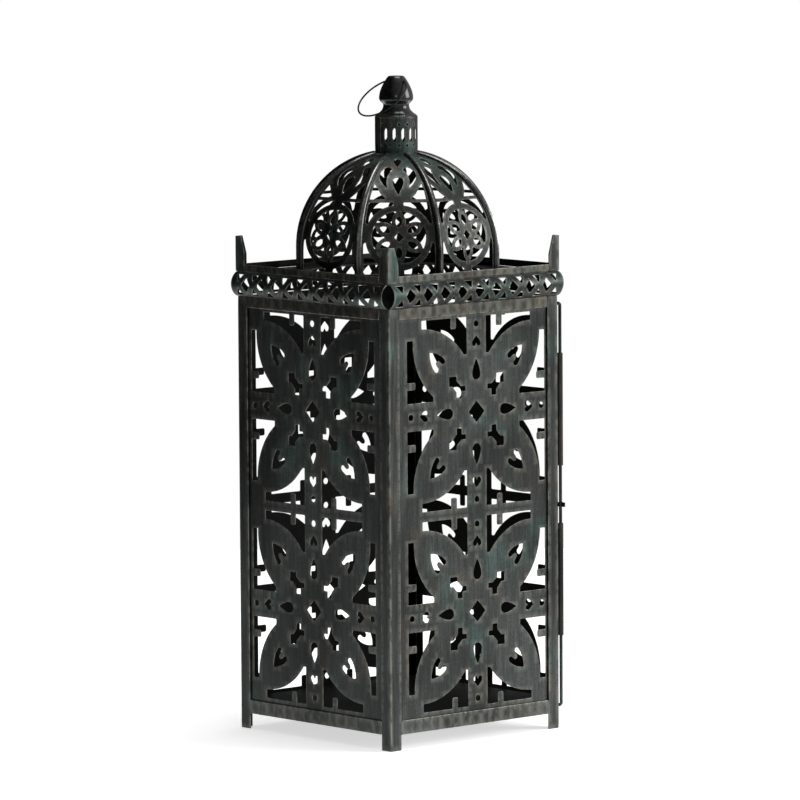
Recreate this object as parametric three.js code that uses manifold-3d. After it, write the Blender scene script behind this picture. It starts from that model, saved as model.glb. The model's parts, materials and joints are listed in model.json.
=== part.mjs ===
// A pierced metal lantern: square body of four angle posts and pierced panels with a hinged
// door, curved eave bands, an eight-sided pierced dome, a slotted collar, and a turned knob
// with a hanging ring. Millimetres, +Z up, origin at the bottom centre, +X out of the door.
import * as THREE from 'three';
import { mergeVertices } from 'three/addons/utils/BufferGeometryUtils.js';
import Module from 'manifold-3d';

const wasm = await Module();
wasm.setup();

// ---------------------------------------------------------------- driving dimensions (mm)
const OVERALL_HEIGHT = 590.55;
const BODY_WIDTH = 204;
const GAP = 0.3;
const SHEET = 1.2;
const ANGLE_IRON = 1.5;

const POST_LEG = 12.5;
const FOOT_HEIGHT = 14;
const BOTTOM_RAIL_HEIGHT = 12.5;
const UPPER_RAIL_HEIGHT = 9.7;

const EAVE_HEIGHT = 22;
const EAVE_BULGE = 6.8;
const EAVE_OVERHANG = 1.3;
const EAVE_DIAMONDS = 9;
const EAVE_END_MARGIN = 19.5;
const EAVE_DIAMOND = { width: 10.6, height: 12.8 };
const EAVE_TRIANGLE = { width: 8.6, point: 3.1, base: 9.4 };

const TOP_RAIL_HEIGHT = 6.2;
const FINIAL_HEIGHT = 31.7;
const FINIAL_STRAIGHT = 15.2;
const FINIAL_TOP_LEG = 7.8;
const ROOF_LEDGE = 8;

const PANEL_BORDER = 6.5;
const PANEL_OVERLAP = 4.5;
const PITCH_SHARE = 0.503;
const PATTERN_LIFT = 0.7;
const PATTERN_SHIFT = { front: 4.3, door_side: 0, back: 0, left: -2.6 };
const BAR_HALF = 11.7;
const CROSS_BAR_HALF = 12;
const MIDDLE_BAR = 9;
const PETAL_ARC = 62.5;
const PETAL_CENTRE = { near: 15, far: 65.5 };
const TAB = { width: 8, length: 9.7, place: 27 };
const DRAWN = { windowHalf: 84, pitch: 179.3, domeRadius: 88, collarRadius: 19.25 };

const DOME_SIDES = 8;
const DOME_INSET = 14;
const DOME_SKIRT = 20;
const DOME_SEAT = 0.15;
const DOME_TURN_DEG = 4.3;
const DOME_LEVELS_DEG = [27, 52];
const GORE_BORDER = 5.2;
const MEDALLION = { centre: 17.25, outer: 30, inner: 24, hub: 7, eye: 4, webHalf: 32 };
const PETAL = { start: 2.2, end: 24.6, halfWidth: 6.2 };
const STRAP = { low: 50, high: 53, linkHalf: 4.5 };
const RIB_WIDTH = 8;
const RIB_TOP_WIDTH = 5;
const RIB_RISE = 2.9;

const COLLAR_RADIUS = 19.25;
const COLLAR_HEIGHT = 33.3;
const COLLAR_SLOTS = 13;
const SLOT_PITCH_DEG = 24;
const FIRST_SLOT_DEG = 21;
const COLLAR_SEAM_TURN = 268;
const SLOT = { width: 2.8, height: 11.5 };
const KNOB_HEIGHT = 36.05;
const KNOB_WALL = 1.2;

const RING_RADIUS = 24.5;
const RING_WIRE = 1.6;
const RING_DROP = 4.55;
const RING_HOLE = 2.8;
const RING_REST_DEG = 50;
const RING_CHORD_SHARE = 0.5715;

const DOOR_FOOT_Z = 19.5;
const DOOR_TOP_MARGIN = 6;
const DOOR_STANDOFF = 0.5;
const DOOR_LAP = 4.5;
const HINGE_ROD = 3;
const SLEEVE_SLACK = 0.8;
const SLEEVE_WALL = 0.6;
const SLEEVE_SHARE = 0.2776;
const HINGE_INSET = 0.5;
const SLEEVE_PLACES = [0.315, 0.735];

const STAPLE = { height: 4, tail: 5.5 };
const LATCH = { reach: 10.5, arm: 3, thick: 1.2, pin: 1.2, slack: 0.4, head: 2.4 };

// ---------------------------------------------------------------- derived places
const HALF = BODY_WIDTH / 2;
const TOP_HALF = HALF + EAVE_OVERHANG;
const DOME_RADIUS = HALF - DOME_INSET;
const DOME_SCALE = DOME_RADIUS / DRAWN.domeRadius;
const DOME_TOP_ANGLE = Math.acos((COLLAR_RADIUS - DOME_SEAT) / DOME_RADIUS);
const COLLAR_TOP_Z = OVERALL_HEIGHT - KNOB_HEIGHT;
const COLLAR_FOOT_Z = COLLAR_TOP_Z - COLLAR_HEIGHT;
const DOME_SPRING_Z = COLLAR_FOOT_Z - GAP - DOME_RADIUS * Math.sin(DOME_TOP_ANGLE);
const EAVE_TOP_Z = DOME_SPRING_Z - DOME_SKIRT;
const EAVE_FOOT_Z = EAVE_TOP_Z - EAVE_HEIGHT;
const EAVE_PITCH = (BODY_WIDTH - EAVE_END_MARGIN) / EAVE_DIAMONDS;
const POST_TOP = EAVE_FOOT_Z - GAP;
const TOP_FRAME_Z = EAVE_TOP_Z + GAP;
const PANEL_FACE = HALF - ANGLE_IRON - GAP;
const PANEL_BACK = PANEL_FACE - SHEET;
const WINDOW_HALF = HALF - POST_LEG - PANEL_BORDER;
const BOTTOM_RAIL_TOP = FOOT_HEIGHT + BOTTOM_RAIL_HEIGHT;
const UPPER_RAIL_FOOT = POST_TOP - UPPER_RAIL_HEIGHT;
const PANEL_FOOT_Z = BOTTOM_RAIL_TOP - PANEL_OVERLAP - 2;
const PANEL_TOP_Z = UPPER_RAIL_FOOT + PANEL_OVERLAP;
const PANEL_MIDDLE_Z = (BOTTOM_RAIL_TOP + UPPER_RAIL_FOOT) / 2 + PATTERN_LIFT;
const QUATREFOIL_PITCH = PITCH_SHARE * (UPPER_RAIL_FOOT - BOTTOM_RAIL_TOP);
const FLOOR_Z = BOTTOM_RAIL_TOP + GAP;
const ROOF_TOP_Z = EAVE_TOP_Z;
const DOME_FOOT_Z = ROOF_TOP_Z + GAP;
const GORE_TAN = Math.tan(Math.PI / DOME_SIDES);
const GORE_TOP = DOME_RADIUS * DOME_TOP_ANGLE;
const GORE_FOOT = DOME_FOOT_Z - DOME_SPRING_Z;
const RING_AXIS_Z = OVERALL_HEIGHT - RING_DROP;
const RING_CHORD_HALF = RING_CHORD_SHARE * COLLAR_RADIUS;
const RING_REACH = Math.sqrt(RING_RADIUS ** 2 - RING_CHORD_HALF ** 2);
const DOOR_TOP_Z = EAVE_FOOT_Z - DOOR_TOP_MARGIN;
const DOOR_BACK = HALF + DOOR_STANDOFF;
const DOOR_FACE = DOOR_BACK + SHEET;
const SLEEVE_BORE = HINGE_ROD + SLEEVE_SLACK;
const SLEEVE_OUTER = SLEEVE_BORE + 2 * SLEEVE_WALL;
const SLEEVE_LENGTH = SLEEVE_SHARE * (DOOR_TOP_Z - DOOR_FOOT_Z);
const HINGE_STANDOFF = SLEEVE_OUTER / 2 + DOOR_STANDOFF;
const HINGE_U = -HALF + HINGE_INSET;
const HINGE_OUT = HALF + HINGE_STANDOFF;
const DOOR_HINGE_EDGE = HINGE_U + SLEEVE_OUTER / 2 + GAP;
const DOOR_FREE_EDGE = HALF - POST_LEG + DOOR_LAP;
const LATCH_U = (DOOR_FREE_EDGE + HALF) / 2 + 0.3;
const LATCH_Z = (DOOR_FOOT_Z + DOOR_TOP_Z) / 2;

// ---------------------------------------------------------------- finishes
const finish = (color, roughness, metalness) => new THREE.MeshStandardMaterial({ color, roughness, metalness });
const IRON = finish(0x2b2d2e, 0.5, 0.85);
const VERDIGRIS = finish(0x3a4a48, 0.55, 0.75);
const BRONZED = finish(0x3d3a36, 0.5, 0.8);
const POLISHED = finish(0x3b3d3f, 0.35, 0.9);
const SOOT = finish(0x1c1d1e, 0.7, 0.6);

// ---------------------------------------------------------------- geometry helpers
const point = (x, y) => new THREE.Vector2(x, y);

/** Points on a circle from angle a to angle b (radians), both ends included. */
function arc(cx, cy, radius, a, b, steps) {
  return Array.from({ length: steps + 1 }, (_, i) => {
    const angle = a + ((b - a) * i) / steps;
    return point(cx + radius * Math.cos(angle), cy + radius * Math.sin(angle));
  });
}

/** An almond between two points on the first axis, both sides circular arcs. */
function almond(start, end, halfWidth, steps) {
  const half = (end - start) / 2;
  const radius = (half ** 2 + halfWidth ** 2) / (2 * halfWidth);
  const sweep = Math.asin(half / radius);
  const middle = (start + end) / 2;
  const upper = arc(middle, halfWidth - radius, radius, Math.PI / 2 + sweep, Math.PI / 2 - sweep, steps);
  const lower = arc(middle, radius - halfWidth, radius, -Math.PI / 2 + sweep, -Math.PI / 2 - sweep, steps);
  return [...upper, ...lower.slice(1, -1)].reverse();
}

/** A teardrop on the first axis: a point at `tip` and a round end reaching to `round`. */
function teardrop(tip, round, radius, steps) {
  const centre = round - Math.sign(round - tip) * radius;
  const toTip = tip > centre ? 0 : Math.PI;
  const tangent = Math.acos(radius / Math.abs(tip - centre));
  return [point(tip, 0), ...arc(centre, 0, radius, toTip + tangent, toTip + 2 * Math.PI - tangent, steps)];
}

const turned = (points, angle) => points.map((p) => p.clone().rotateAround(point(0, 0), angle));
const moved = (points, x, y) => points.map((p) => point(p.x + x, p.y + y));
const mirrored = (points) => points.map((p) => point(-p.x, p.y)).reverse();
const scaled = (points, x, y) => points.map((p) => point(p.x * x, p.y * y));

/** A flat sheet of the given outline and holes, its front face at w = 0. */
function sheet(outline, holes, thickness) {
  const shape = new THREE.Shape(outline);
  shape.holes = holes.map((hole) => new THREE.Path(hole));
  const geometry = new THREE.ExtrudeGeometry(shape, { depth: thickness, bevelEnabled: false });
  return geometry.translate(0, 0, -thickness);
}

/** The same geometry with only positions, and shared corners merged. */
function welded(geometry) {
  const bare = geometry.clone();
  bare.deleteAttribute('normal');
  bare.deleteAttribute('uv');
  return mergeVertices(bare, 1e-4);
}

function solidOf(geometry) {
  const merged = welded(geometry);
  const vertProperties = Float32Array.from(merged.attributes.position.array);
  const triVerts = Uint32Array.from(merged.index.array);
  return new wasm.Manifold(new wasm.Mesh({ numProp: 3, vertProperties, triVerts }));
}

function geometryOf(solid) {
  const mesh = solid.getMesh();
  const geometry = new THREE.BufferGeometry();
  geometry.setAttribute('position', new THREE.BufferAttribute(mesh.vertProperties, 3));
  geometry.setIndex(new THREE.BufferAttribute(mesh.triVerts, 1));
  return geometry;
}

/** A flat sheet with openings punched right through it, its front face at w = 0. */
function punched(outline, holes, thickness) {
  const punch = (hole) => solidOf(sheet(hole, [], 3 * thickness).translate(0, 0, thickness));
  const blank = solidOf(sheet(outline, [], thickness));
  return geometryOf(holes.reduce((solid, hole) => solid.subtract(punch(hole)), blank));
}

/** Splits every triangle that crosses coordinate `axis` = level, sharing the new corners. */
function splitTriangles(points, triangles, axis, level) {
  const side = (i) => (Math.abs(points[i][axis] - level) < 1e-5 ? 0 : Math.sign(points[i][axis] - level));
  const made = new Map();
  const crossing = (a, b) => {
    const key = a < b ? `${a}:${b}` : `${b}:${a}`;
    if (!made.has(key)) {
      const [low, high] = a < b ? [a, b] : [b, a];
      const share = (level - points[low][axis]) / (points[high][axis] - points[low][axis]);
      const fresh = points[low].map((value, k) => value + share * (points[high][k] - value));
      fresh[axis] = level;
      points.push(fresh);
      made.set(key, points.length - 1);
    }
    return made.get(key);
  };
  return triangles.flatMap(([a, b, c]) => {
    const sides = [side(a), side(b), side(c)];
    if (!(sides.includes(1) && sides.includes(-1))) return [[a, b, c]];
    const zero = sides.indexOf(0);
    const lone = zero >= 0 ? zero : sides.findIndex((s) => sides.filter((t) => t === s).length === 1);
    const [p, q, r] = [0, 1, 2].map((k) => [a, b, c][(lone + k) % 3]);
    if (zero >= 0) {
      const m = crossing(q, r);
      return [[p, q, m], [p, m, r]];
    }
    const m = crossing(p, q);
    const n = crossing(p, r);
    return [[p, m, n], [m, q, r], [m, r, n]];
  });
}

/** Creases a flat sheet along coordinate lines and carries each corner to its formed place. */
function formed(geometry, axis, levels, place) {
  const flat = welded(geometry);
  const array = flat.attributes.position.array;
  const points = Array.from({ length: array.length / 3 }, (_, i) => [...array.slice(3 * i, 3 * i + 3)]);
  const index = flat.index.array;
  let triangles = Array.from({ length: index.length / 3 }, (_, i) => [...index.slice(3 * i, 3 * i + 3)]);
  for (const level of levels) triangles = splitTriangles(points, triangles, axis, level);
  const result = new THREE.BufferGeometry();
  const placed = points.flatMap(([u, v, w]) => place(u, v, w));
  result.setAttribute('position', new THREE.Float32BufferAttribute(placed, 3));
  result.setIndex(triangles.flat());
  return result;
}

// ---------------------------------------------------------------- scene helpers
const group = new THREE.Group();
group.name = 'moroccan_lantern';

function add(name, geometry, material, turnDeg = 0) {
  geometry.computeVertexNormals();
  const mesh = new THREE.Mesh(geometry, material);
  mesh.name = name;
  mesh.rotation.z = THREE.MathUtils.degToRad(turnDeg);
  group.add(mesh);
}

/** Stands a flat sheet (u across, v up, w outwards) on the face that looks along -Y. */
function standing(geometry, face, lift = 0) {
  return geometry.rotateX(Math.PI / 2).translate(0, -face, lift);
}

const SIDES = [
  { name: 'front', turn: 0 },
  { name: 'door_side', turn: 90 },
  { name: 'back', turn: 180 },
  { name: 'left', turn: 270 },
];
const CORNERS = ['front_left', 'front_right', 'back_right', 'back_left'];

const box = (u0, u1, v0, v1) => [point(u0, v0), point(u1, v0), point(u1, v1), point(u0, v1)];

// ---------------------------------------------------------------- posts and rails
function angleSection(leg) {
  return [
    point(-HALF, -HALF),
    point(-HALF + leg, -HALF),
    point(-HALF + leg, -HALF + ANGLE_IRON),
    point(-HALF + ANGLE_IRON, -HALF + ANGLE_IRON),
    point(-HALF + ANGLE_IRON, -HALF + leg),
    point(-HALF, -HALF + leg),
  ];
}

CORNERS.forEach((corner, k) => {
  const post = sheet(angleSection(POST_LEG), [], POST_TOP).translate(0, 0, POST_TOP);
  add(`corner_post_${corner}`, post, IRON, 90 * k);
});

const RAIL_HALF = HALF - POST_LEG - GAP;
const TOP_RAIL_HALF = RAIL_HALF + EAVE_OVERHANG;
SIDES.forEach(({ name, turn }) => {
  const bottom = sheet(box(-RAIL_HALF, RAIL_HALF, FOOT_HEIGHT, BOTTOM_RAIL_TOP), [], ANGLE_IRON);
  add(`bottom_rail_${name}`, standing(bottom, HALF), IRON, turn);
  const upper = sheet(box(-RAIL_HALF, RAIL_HALF, UPPER_RAIL_FOOT, POST_TOP), [], ANGLE_IRON);
  add(`upper_rail_${name}`, standing(upper, HALF), IRON, turn);
  const top = sheet(box(-TOP_RAIL_HALF, TOP_RAIL_HALF, TOP_FRAME_Z, TOP_FRAME_Z + TOP_RAIL_HEIGHT), [], ANGLE_IRON);
  add(`top_rail_${name}`, standing(top, TOP_HALF), BRONZED, turn);
});

const floorHalf = PANEL_BACK - GAP;
const floorSheet = new THREE.BoxGeometry(2 * floorHalf, 2 * floorHalf, SHEET);
add('floor_plate', floorSheet.translate(0, 0, FLOOR_Z + SHEET / 2), SOOT);

// ---------------------------------------------------------------- corner finials
function finial() {
  const leg = [
    point(0, 0),
    point(POST_LEG, 0),
    point(POST_LEG, FINIAL_STRAIGHT),
    point(FINIAL_TOP_LEG, FINIAL_HEIGHT),
    point(0, FINIAL_HEIGHT),
  ];
  const frontLeg = standing(sheet(leg, [], ANGLE_IRON).translate(-TOP_HALF, 0, 0), TOP_HALF, TOP_FRAME_Z);
  const sideLeg = standing(sheet(mirrored(leg), [], ANGLE_IRON).translate(TOP_HALF, 0, 0), TOP_HALF, TOP_FRAME_Z);
  sideLeg.rotateZ(-Math.PI / 2);
  return geometryOf(solidOf(frontLeg).add(solidOf(sideLeg)));
}

CORNERS.forEach((corner, k) => add(`corner_finial_${corner}`, finial(), VERDIGRIS, 90 * k));

// ---------------------------------------------------------------- pierced panels
/** The petal's outline where it faces the bar, from the bar's foot to the petal's tip. */
function petalEdge() {
  const run = PETAL_CENTRE.far - PETAL_CENTRE.near;
  const from = Math.atan2(Math.sqrt(PETAL_ARC ** 2 - run ** 2), -run);
  return arc(PETAL_CENTRE.far, PETAL_CENTRE.near, PETAL_ARC, from, Math.PI / 2, 4);
}

/** The same outline on the cross bar's side, a little closer to the bar. */
function crossEdge() {
  const radius = PETAL_ARC - 1;
  const low = Math.asin((CROSS_BAR_HALF + 5 - PETAL_CENTRE.far) / radius);
  return arc(PETAL_CENTRE.near, PETAL_CENTRE.far, radius, low, Math.asin(2 / radius), 4);
}

/** A tab that stands on the line y = edge and points down, its two end corners cut off. */
function tab(edge) {
  const half = TAB.width / 2;
  const shoulder = edge - TAB.length + TAB.width / 3;
  return [
    point(TAB.place + half, edge),
    point(TAB.place + half, shoulder),
    point(TAB.place, edge - TAB.length),
    point(TAB.place - half, shoulder),
    point(TAB.place - half, edge),
  ];
}

/** Openings of one quarter of a quatrefoil: two background ones, the petal's and the neck. */
function quarterOpenings() {
  const outerV = DRAWN.pitch / 2 - MIDDLE_BAR / 2;
  const upper = petalEdge();
  const tip = upper[upper.length - 1];
  const upperCorners = [point(BAR_HALF, outerV), point(BAR_HALF, upper[0].y)];
  const above = [...upperCorners, ...upper, point(tip.x, outerV), ...tab(outerV)];
  const side = crossEdge();
  const sideTab = tab(DRAWN.windowHalf).map((p) => point(p.y, p.x));
  const lastSide = side[side.length - 1];
  const sideCorner = point(side[0].x, CROSS_BAR_HALF);
  const beside = [sideCorner, ...side, point(DRAWN.windowHalf, lastSide.y), ...sideTab];
  beside.push(point(DRAWN.windowHalf, CROSS_BAR_HALF));
  const petal = [point(54.5, 56), point(48, 57), point(35, 49.5), point(37.5, 45), point(41, 50)];
  petal.push(point(45.5, 45.5), point(44.5, 40), point(48.5, 40), point(55, 49.5));
  const neck = [point(24, 19), point(32.3, 25), point(32.3, 33.3), point(24, 33.3)];
  return [above, beside, petal, neck];
}

/** Every opening of one quatrefoil, drawn about its own centre. */
function quatrefoilHoles() {
  const upsideDown = (points) => points.map((p) => point(p.x, -p.y)).reverse();
  const holes = quarterOpenings().flatMap((right) => {
    const left = mirrored(right);
    return [right, left, upsideDown(right), upsideDown(left)];
  });
  holes.push(turned(box(-7, 7, -7, 7), Math.PI / 4));
  const drop = teardrop(46.8, 28.6, 4.4, 4);
  const heart = [point(66.4, 0), point(62, 4.4), point(60, 2.6), point(60, -2.6), point(62, -4.4)];
  for (let quarter = 0; quarter < 4; quarter += 1) {
    holes.push(turned(drop, (quarter * Math.PI) / 2));
    holes.push(turned(heart, (quarter * Math.PI) / 2));
  }
  return holes;
}

/** The drawn pattern brought to the window's own size, once below and once above the middle. */
function piercedHoles(shift) {
  const across = WINDOW_HALF / DRAWN.windowHalf;
  const up = QUATREFOIL_PITCH / DRAWN.pitch;
  const drawn = quatrefoilHoles().map((hole) => scaled(hole, across, up));
  return [-0.5, 0.5].flatMap((place) => {
    const centre = PANEL_MIDDLE_Z + place * QUATREFOIL_PITCH;
    return drawn.map((hole) => moved(hole, shift, centre));
  });
}

const panelHalf = PANEL_BACK - GAP;
SIDES.filter(({ name }) => name !== 'door_side').forEach(({ name, turn }) => {
  const outline = box(-panelHalf, panelHalf, PANEL_FOOT_Z, PANEL_TOP_Z);
  const panel = punched(outline, piercedHoles(PATTERN_SHIFT[name]), SHEET);
  add(`pierced_panel_${name}`, standing(panel, PANEL_FACE), VERDIGRIS, turn);
});

// ---------------------------------------------------------------- curved eave bands
const EAVE_RADIUS = ((EAVE_HEIGHT / 2) ** 2 + EAVE_BULGE ** 2) / (2 * EAVE_BULGE);
const EAVE_ANGLE = Math.asin(EAVE_HEIGHT / 2 / EAVE_RADIUS);

function eaveBand() {
  const half = TOP_HALF - ANGLE_IRON - GAP / 2;
  const { width, height } = EAVE_DIAMOND;
  const diamond = [point(-width / 2, 0), point(0, -height / 2), point(width / 2, 0), point(0, height / 2)];
  const triangle = [
    point(0, EAVE_TRIANGLE.point),
    point(EAVE_TRIANGLE.width / 2, EAVE_TRIANGLE.base),
    point(-EAVE_TRIANGLE.width / 2, EAVE_TRIANGLE.base),
  ];
  const holes = [];
  for (let k = 0; k < EAVE_DIAMONDS; k += 1) {
    holes.push(moved(diamond, (k - (EAVE_DIAMONDS - 1) / 2) * EAVE_PITCH, 0));
  }
  for (let k = 0; k <= EAVE_DIAMONDS; k += 1) {
    const u = (k - EAVE_DIAMONDS / 2) * EAVE_PITCH;
    holes.push(moved(triangle, u, 0), moved(turned(triangle, Math.PI), u, 0));
  }
  const chord = EAVE_RADIUS * Math.cos(EAVE_ANGLE);
  const front = arc(-chord, 0, EAVE_RADIUS, -EAVE_ANGLE, EAVE_ANGLE, 4);
  const back = arc(-chord, 0, EAVE_RADIUS - SHEET, EAVE_ANGLE, -EAVE_ANGLE, 4);
  const section = new THREE.Shape([...front, ...back]);
  const strip = new THREE.ExtrudeGeometry(section, { depth: 2 * half, bevelEnabled: false });
  strip.translate(0, 0, -half).rotateX(Math.PI / 2).rotateZ(-Math.PI / 2);
  const reach = EAVE_BULGE + 2 * SHEET;
  const band = holes.reduce(
    (solid, hole) => solid.subtract(solidOf(standing(sheet(hole, [], 2 * reach), EAVE_BULGE + SHEET))),
    solidOf(strip),
  );
  return geometryOf(band).translate(0, -TOP_HALF, EAVE_FOOT_Z + EAVE_HEIGHT / 2);
}

SIDES.forEach(({ name, turn }) => add(`eave_band_${name}`, eaveBand(), VERDIGRIS, turn));

// ---------------------------------------------------------------- roof plate
const roofHalf = TOP_HALF - ANGLE_IRON / 2 - GAP;
const roofHole = arc(0, 0, DOME_RADIUS - ROOF_LEDGE, 0, 2 * Math.PI, 24).slice(1);
const roof = sheet(box(-roofHalf, roofHalf, -roofHalf, roofHalf), [roofHole], SHEET);
add('roof_plate', roof.translate(0, 0, ROOF_TOP_Z), SOOT);

// ---------------------------------------------------------------- dome gores and ribs
const goreLevels = [0, ...DOME_LEVELS_DEG.map((deg) => DOME_RADIUS * THREE.MathUtils.degToRad(deg))];
const domeStations = [GORE_FOOT, ...goreLevels, GORE_TOP];

/** A point of the dome's true meridian: s along it, w outwards from its outer face. */
function onMeridian(s, w) {
  const angle = Math.max(s, 0) / DOME_RADIUS;
  const out = (DOME_RADIUS + w) * Math.cos(angle);
  return { out, z: DOME_SPRING_Z + Math.min(s, 0) + (DOME_RADIUS + w) * Math.sin(angle) };
}

/** The same on the creased sheet, which is flat between one station and the next. */
function onDome(s, w) {
  const k = Math.max(domeStations.findLastIndex((station) => station <= s + 1e-6), 0);
  const low = Math.min(k, domeStations.length - 2);
  const share = (s - domeStations[low]) / (domeStations[low + 1] - domeStations[low]);
  const from = onMeridian(domeStations[low], w);
  const to = onMeridian(domeStations[low + 1], w);
  return { out: from.out + share * (to.out - from.out), z: from.z + share * (to.z - from.z) };
}

const goreHalf = (s) => DOME_RADIUS * Math.cos(Math.max(s, 0) / DOME_RADIUS) * GORE_TAN;
const flatSolid = (outline) => solidOf(sheet(outline, [], SHEET));
const drawnSolid = (outline) => flatSolid(scaled(outline, DOME_SCALE, DOME_SCALE));

/** A band outline symmetric about u = 0, its half width given at each level of s. */
function symmetricOutline(levels, halfWidth) {
  const right = levels.map((s) => point(halfWidth(s), s));
  return [...right, ...mirrored(right)];
}

function medallionCuts() {
  const { centre, inner } = MEDALLION;
  let flower = drawnSolid(arc(0, 0, inner, 0, 2 * Math.PI, 12).slice(1));
  for (let k = 0; k < 6; k += 1) {
    const petal = turned(almond(PETAL.start, PETAL.end, PETAL.halfWidth, 2), Math.PI / 2 + (k * Math.PI) / 3);
    flower = flower.subtract(drawnSolid(petal));
  }
  const hub = drawnSolid(arc(0, 0, MEDALLION.hub, 0, 2 * Math.PI, 6).slice(1));
  const eye = drawnSolid(arc(0, 0, MEDALLION.eye, 0, 2 * Math.PI, 4).slice(1));
  return flower.subtract(hub).add(eye).translate(0, centre * DOME_SCALE, 0);
}

function tulipCuts() {
  const upright = (points) => points.map((p) => point(-p.y, p.x));
  const drop = upright(teardrop(58.3, 77.8, 4.2, 5));
  const kite = [point(0, 93.3), point(3.4, 104), point(0, 108.5), point(-3.4, 104)];
  const crescent = [point(9.9, 65.2), point(15.2, 72), point(16.4, 79.5), point(13.8, 88), point(8.6, 93)];
  crescent.push(point(4.6, 88.5), point(8.8, 82), point(10.4, 75));
  const border = (s) => goreHalf(s * DOME_SCALE) / DOME_SCALE - GORE_BORDER;
  const corner = [point(11, STRAP.high), point(border(STRAP.high), STRAP.high), point(border(70), 70)];
  corner.push(point(16.4, 62));
  return [drop, kite, crescent, mirrored(crescent), corner, mirrored(corner)].map(drawnSolid);
}

function gore() {
  const outline = symmetricOutline(domeStations, (s) => goreHalf(s) - SHEET * GORE_TAN - GAP / 2);
  const strapFoot = STRAP.low * DOME_SCALE;
  const windowLevels = [GORE_FOOT + 4, ...goreLevels.filter((s) => s < strapFoot), strapFoot];
  const window = symmetricOutline(windowLevels, (s) => goreHalf(s) - GORE_BORDER * DOME_SCALE);
  const { centre, outer, webHalf } = MEDALLION;
  const webs = [box(-webHalf, webHalf, centre - 4, centre + 10)];
  webs.push(box(-STRAP.linkHalf, STRAP.linkHalf, (GORE_FOOT + 1) / DOME_SCALE, STRAP.low + 1));
  const disc = moved(arc(0, 0, outer, 0, 2 * Math.PI, 18).slice(1), 0, centre);
  let solid = flatSolid(outline).subtract(flatSolid(window)).add(drawnSolid(disc));
  for (const web of webs) solid = solid.add(drawnSolid(web).subtract(drawnSolid(disc)));
  solid = solid.subtract(medallionCuts());
  for (const cut of tulipCuts()) solid = solid.subtract(cut);
  return formed(geometryOf(solid), 1, goreLevels, (u, s, w) => {
    const { out, z } = onDome(s, w);
    return [u, -out, z];
  });
}

/** A half-round bar bent over the mitre between two gores, tapering towards the top. */
function rib() {
  const flatBase = [point(-RIB_WIDTH / 2, GAP), point(RIB_WIDTH / 2, GAP)];
  const crown = arc(0, GAP, 1, 0, Math.PI, 6).map((p) => point((p.x * RIB_WIDTH) / 2, GAP + (p.y - GAP) * RIB_RISE));
  const section = [...flatBase, ...crown.slice(1, -1)];
  const top = GORE_TOP - 1;
  const levels = [GORE_FOOT, ...goreLevels, top];
  const steps = levels.length - 1;
  const bar = new THREE.ExtrudeGeometry(new THREE.Shape(section), { depth: 1, steps, bevelEnabled: false });
  return formed(bar, 0, [0], (q, h, along) => {
    const s = levels[Math.round(along * (levels.length - 1))];
    const taper = 1 + (RIB_TOP_WIDTH / RIB_WIDTH - 1) * Math.max(s / top, 0);
    const angle = Math.max(s, 0) / DOME_RADIUS;
    const { out, z } = onDome(s, 0);
    const sag = Math.abs(q) * taper * GORE_TAN;
    const radial = out / Math.cos(Math.PI / DOME_SIDES) - sag + h * Math.cos(angle);
    return [-q * taper, -radial, z + h * Math.sin(angle)];
  });
}

for (let k = 0; k < DOME_SIDES; k += 1) {
  const turn = (k * 360) / DOME_SIDES + DOME_TURN_DEG;
  add(`dome_gore_${k + 1}`, gore(), VERDIGRIS, turn);
  add(`dome_rib_${k + 1}`, rib(), POLISHED, turn + 180 / DOME_SIDES);
}

// ---------------------------------------------------------------- collar
const COLLAR_STEPS = 30;

/** A tube split along one upright seam, slotted round all but the plain part by the seam. */
function collar() {
  const inner = COLLAR_RADIUS - SHEET;
  const { width, height } = SLOT;
  const shoulder = height / 2 - width;
  const slot = [point(0, -height / 2), point(width / 2, -shoulder), point(width / 2, shoulder)];
  slot.push(point(0, height / 2), point(-width / 2, shoulder), point(-width / 2, -shoulder));
  const section = [point(inner, 0), point(COLLAR_RADIUS, 0), point(COLLAR_RADIUS, COLLAR_HEIGHT)];
  section.push(point(inner, COLLAR_HEIGHT), point(inner, 0));
  const tube = new THREE.LatheGeometry(section, COLLAR_STEPS).rotateX(Math.PI / 2);
  const seam = standing(sheet(box(-GAP / 2, GAP / 2, -1, COLLAR_HEIGHT + 1), [], 2 * SHEET), COLLAR_RADIUS + SHEET);
  let solid = solidOf(tube).subtract(solidOf(seam));
  for (let k = 0; k < COLLAR_SLOTS; k += 1) {
    const punch = standing(sheet(slot, [], 3 * SHEET), COLLAR_RADIUS + SHEET, COLLAR_HEIGHT / 2);
    punch.rotateZ(THREE.MathUtils.degToRad(FIRST_SLOT_DEG + k * SLOT_PITCH_DEG));
    solid = solid.subtract(solidOf(punch));
  }
  return geometryOf(solid).translate(0, 0, COLLAR_FOOT_Z);
}

add('collar', collar(), VERDIGRIS, COLLAR_SEAM_TURN);

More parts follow.
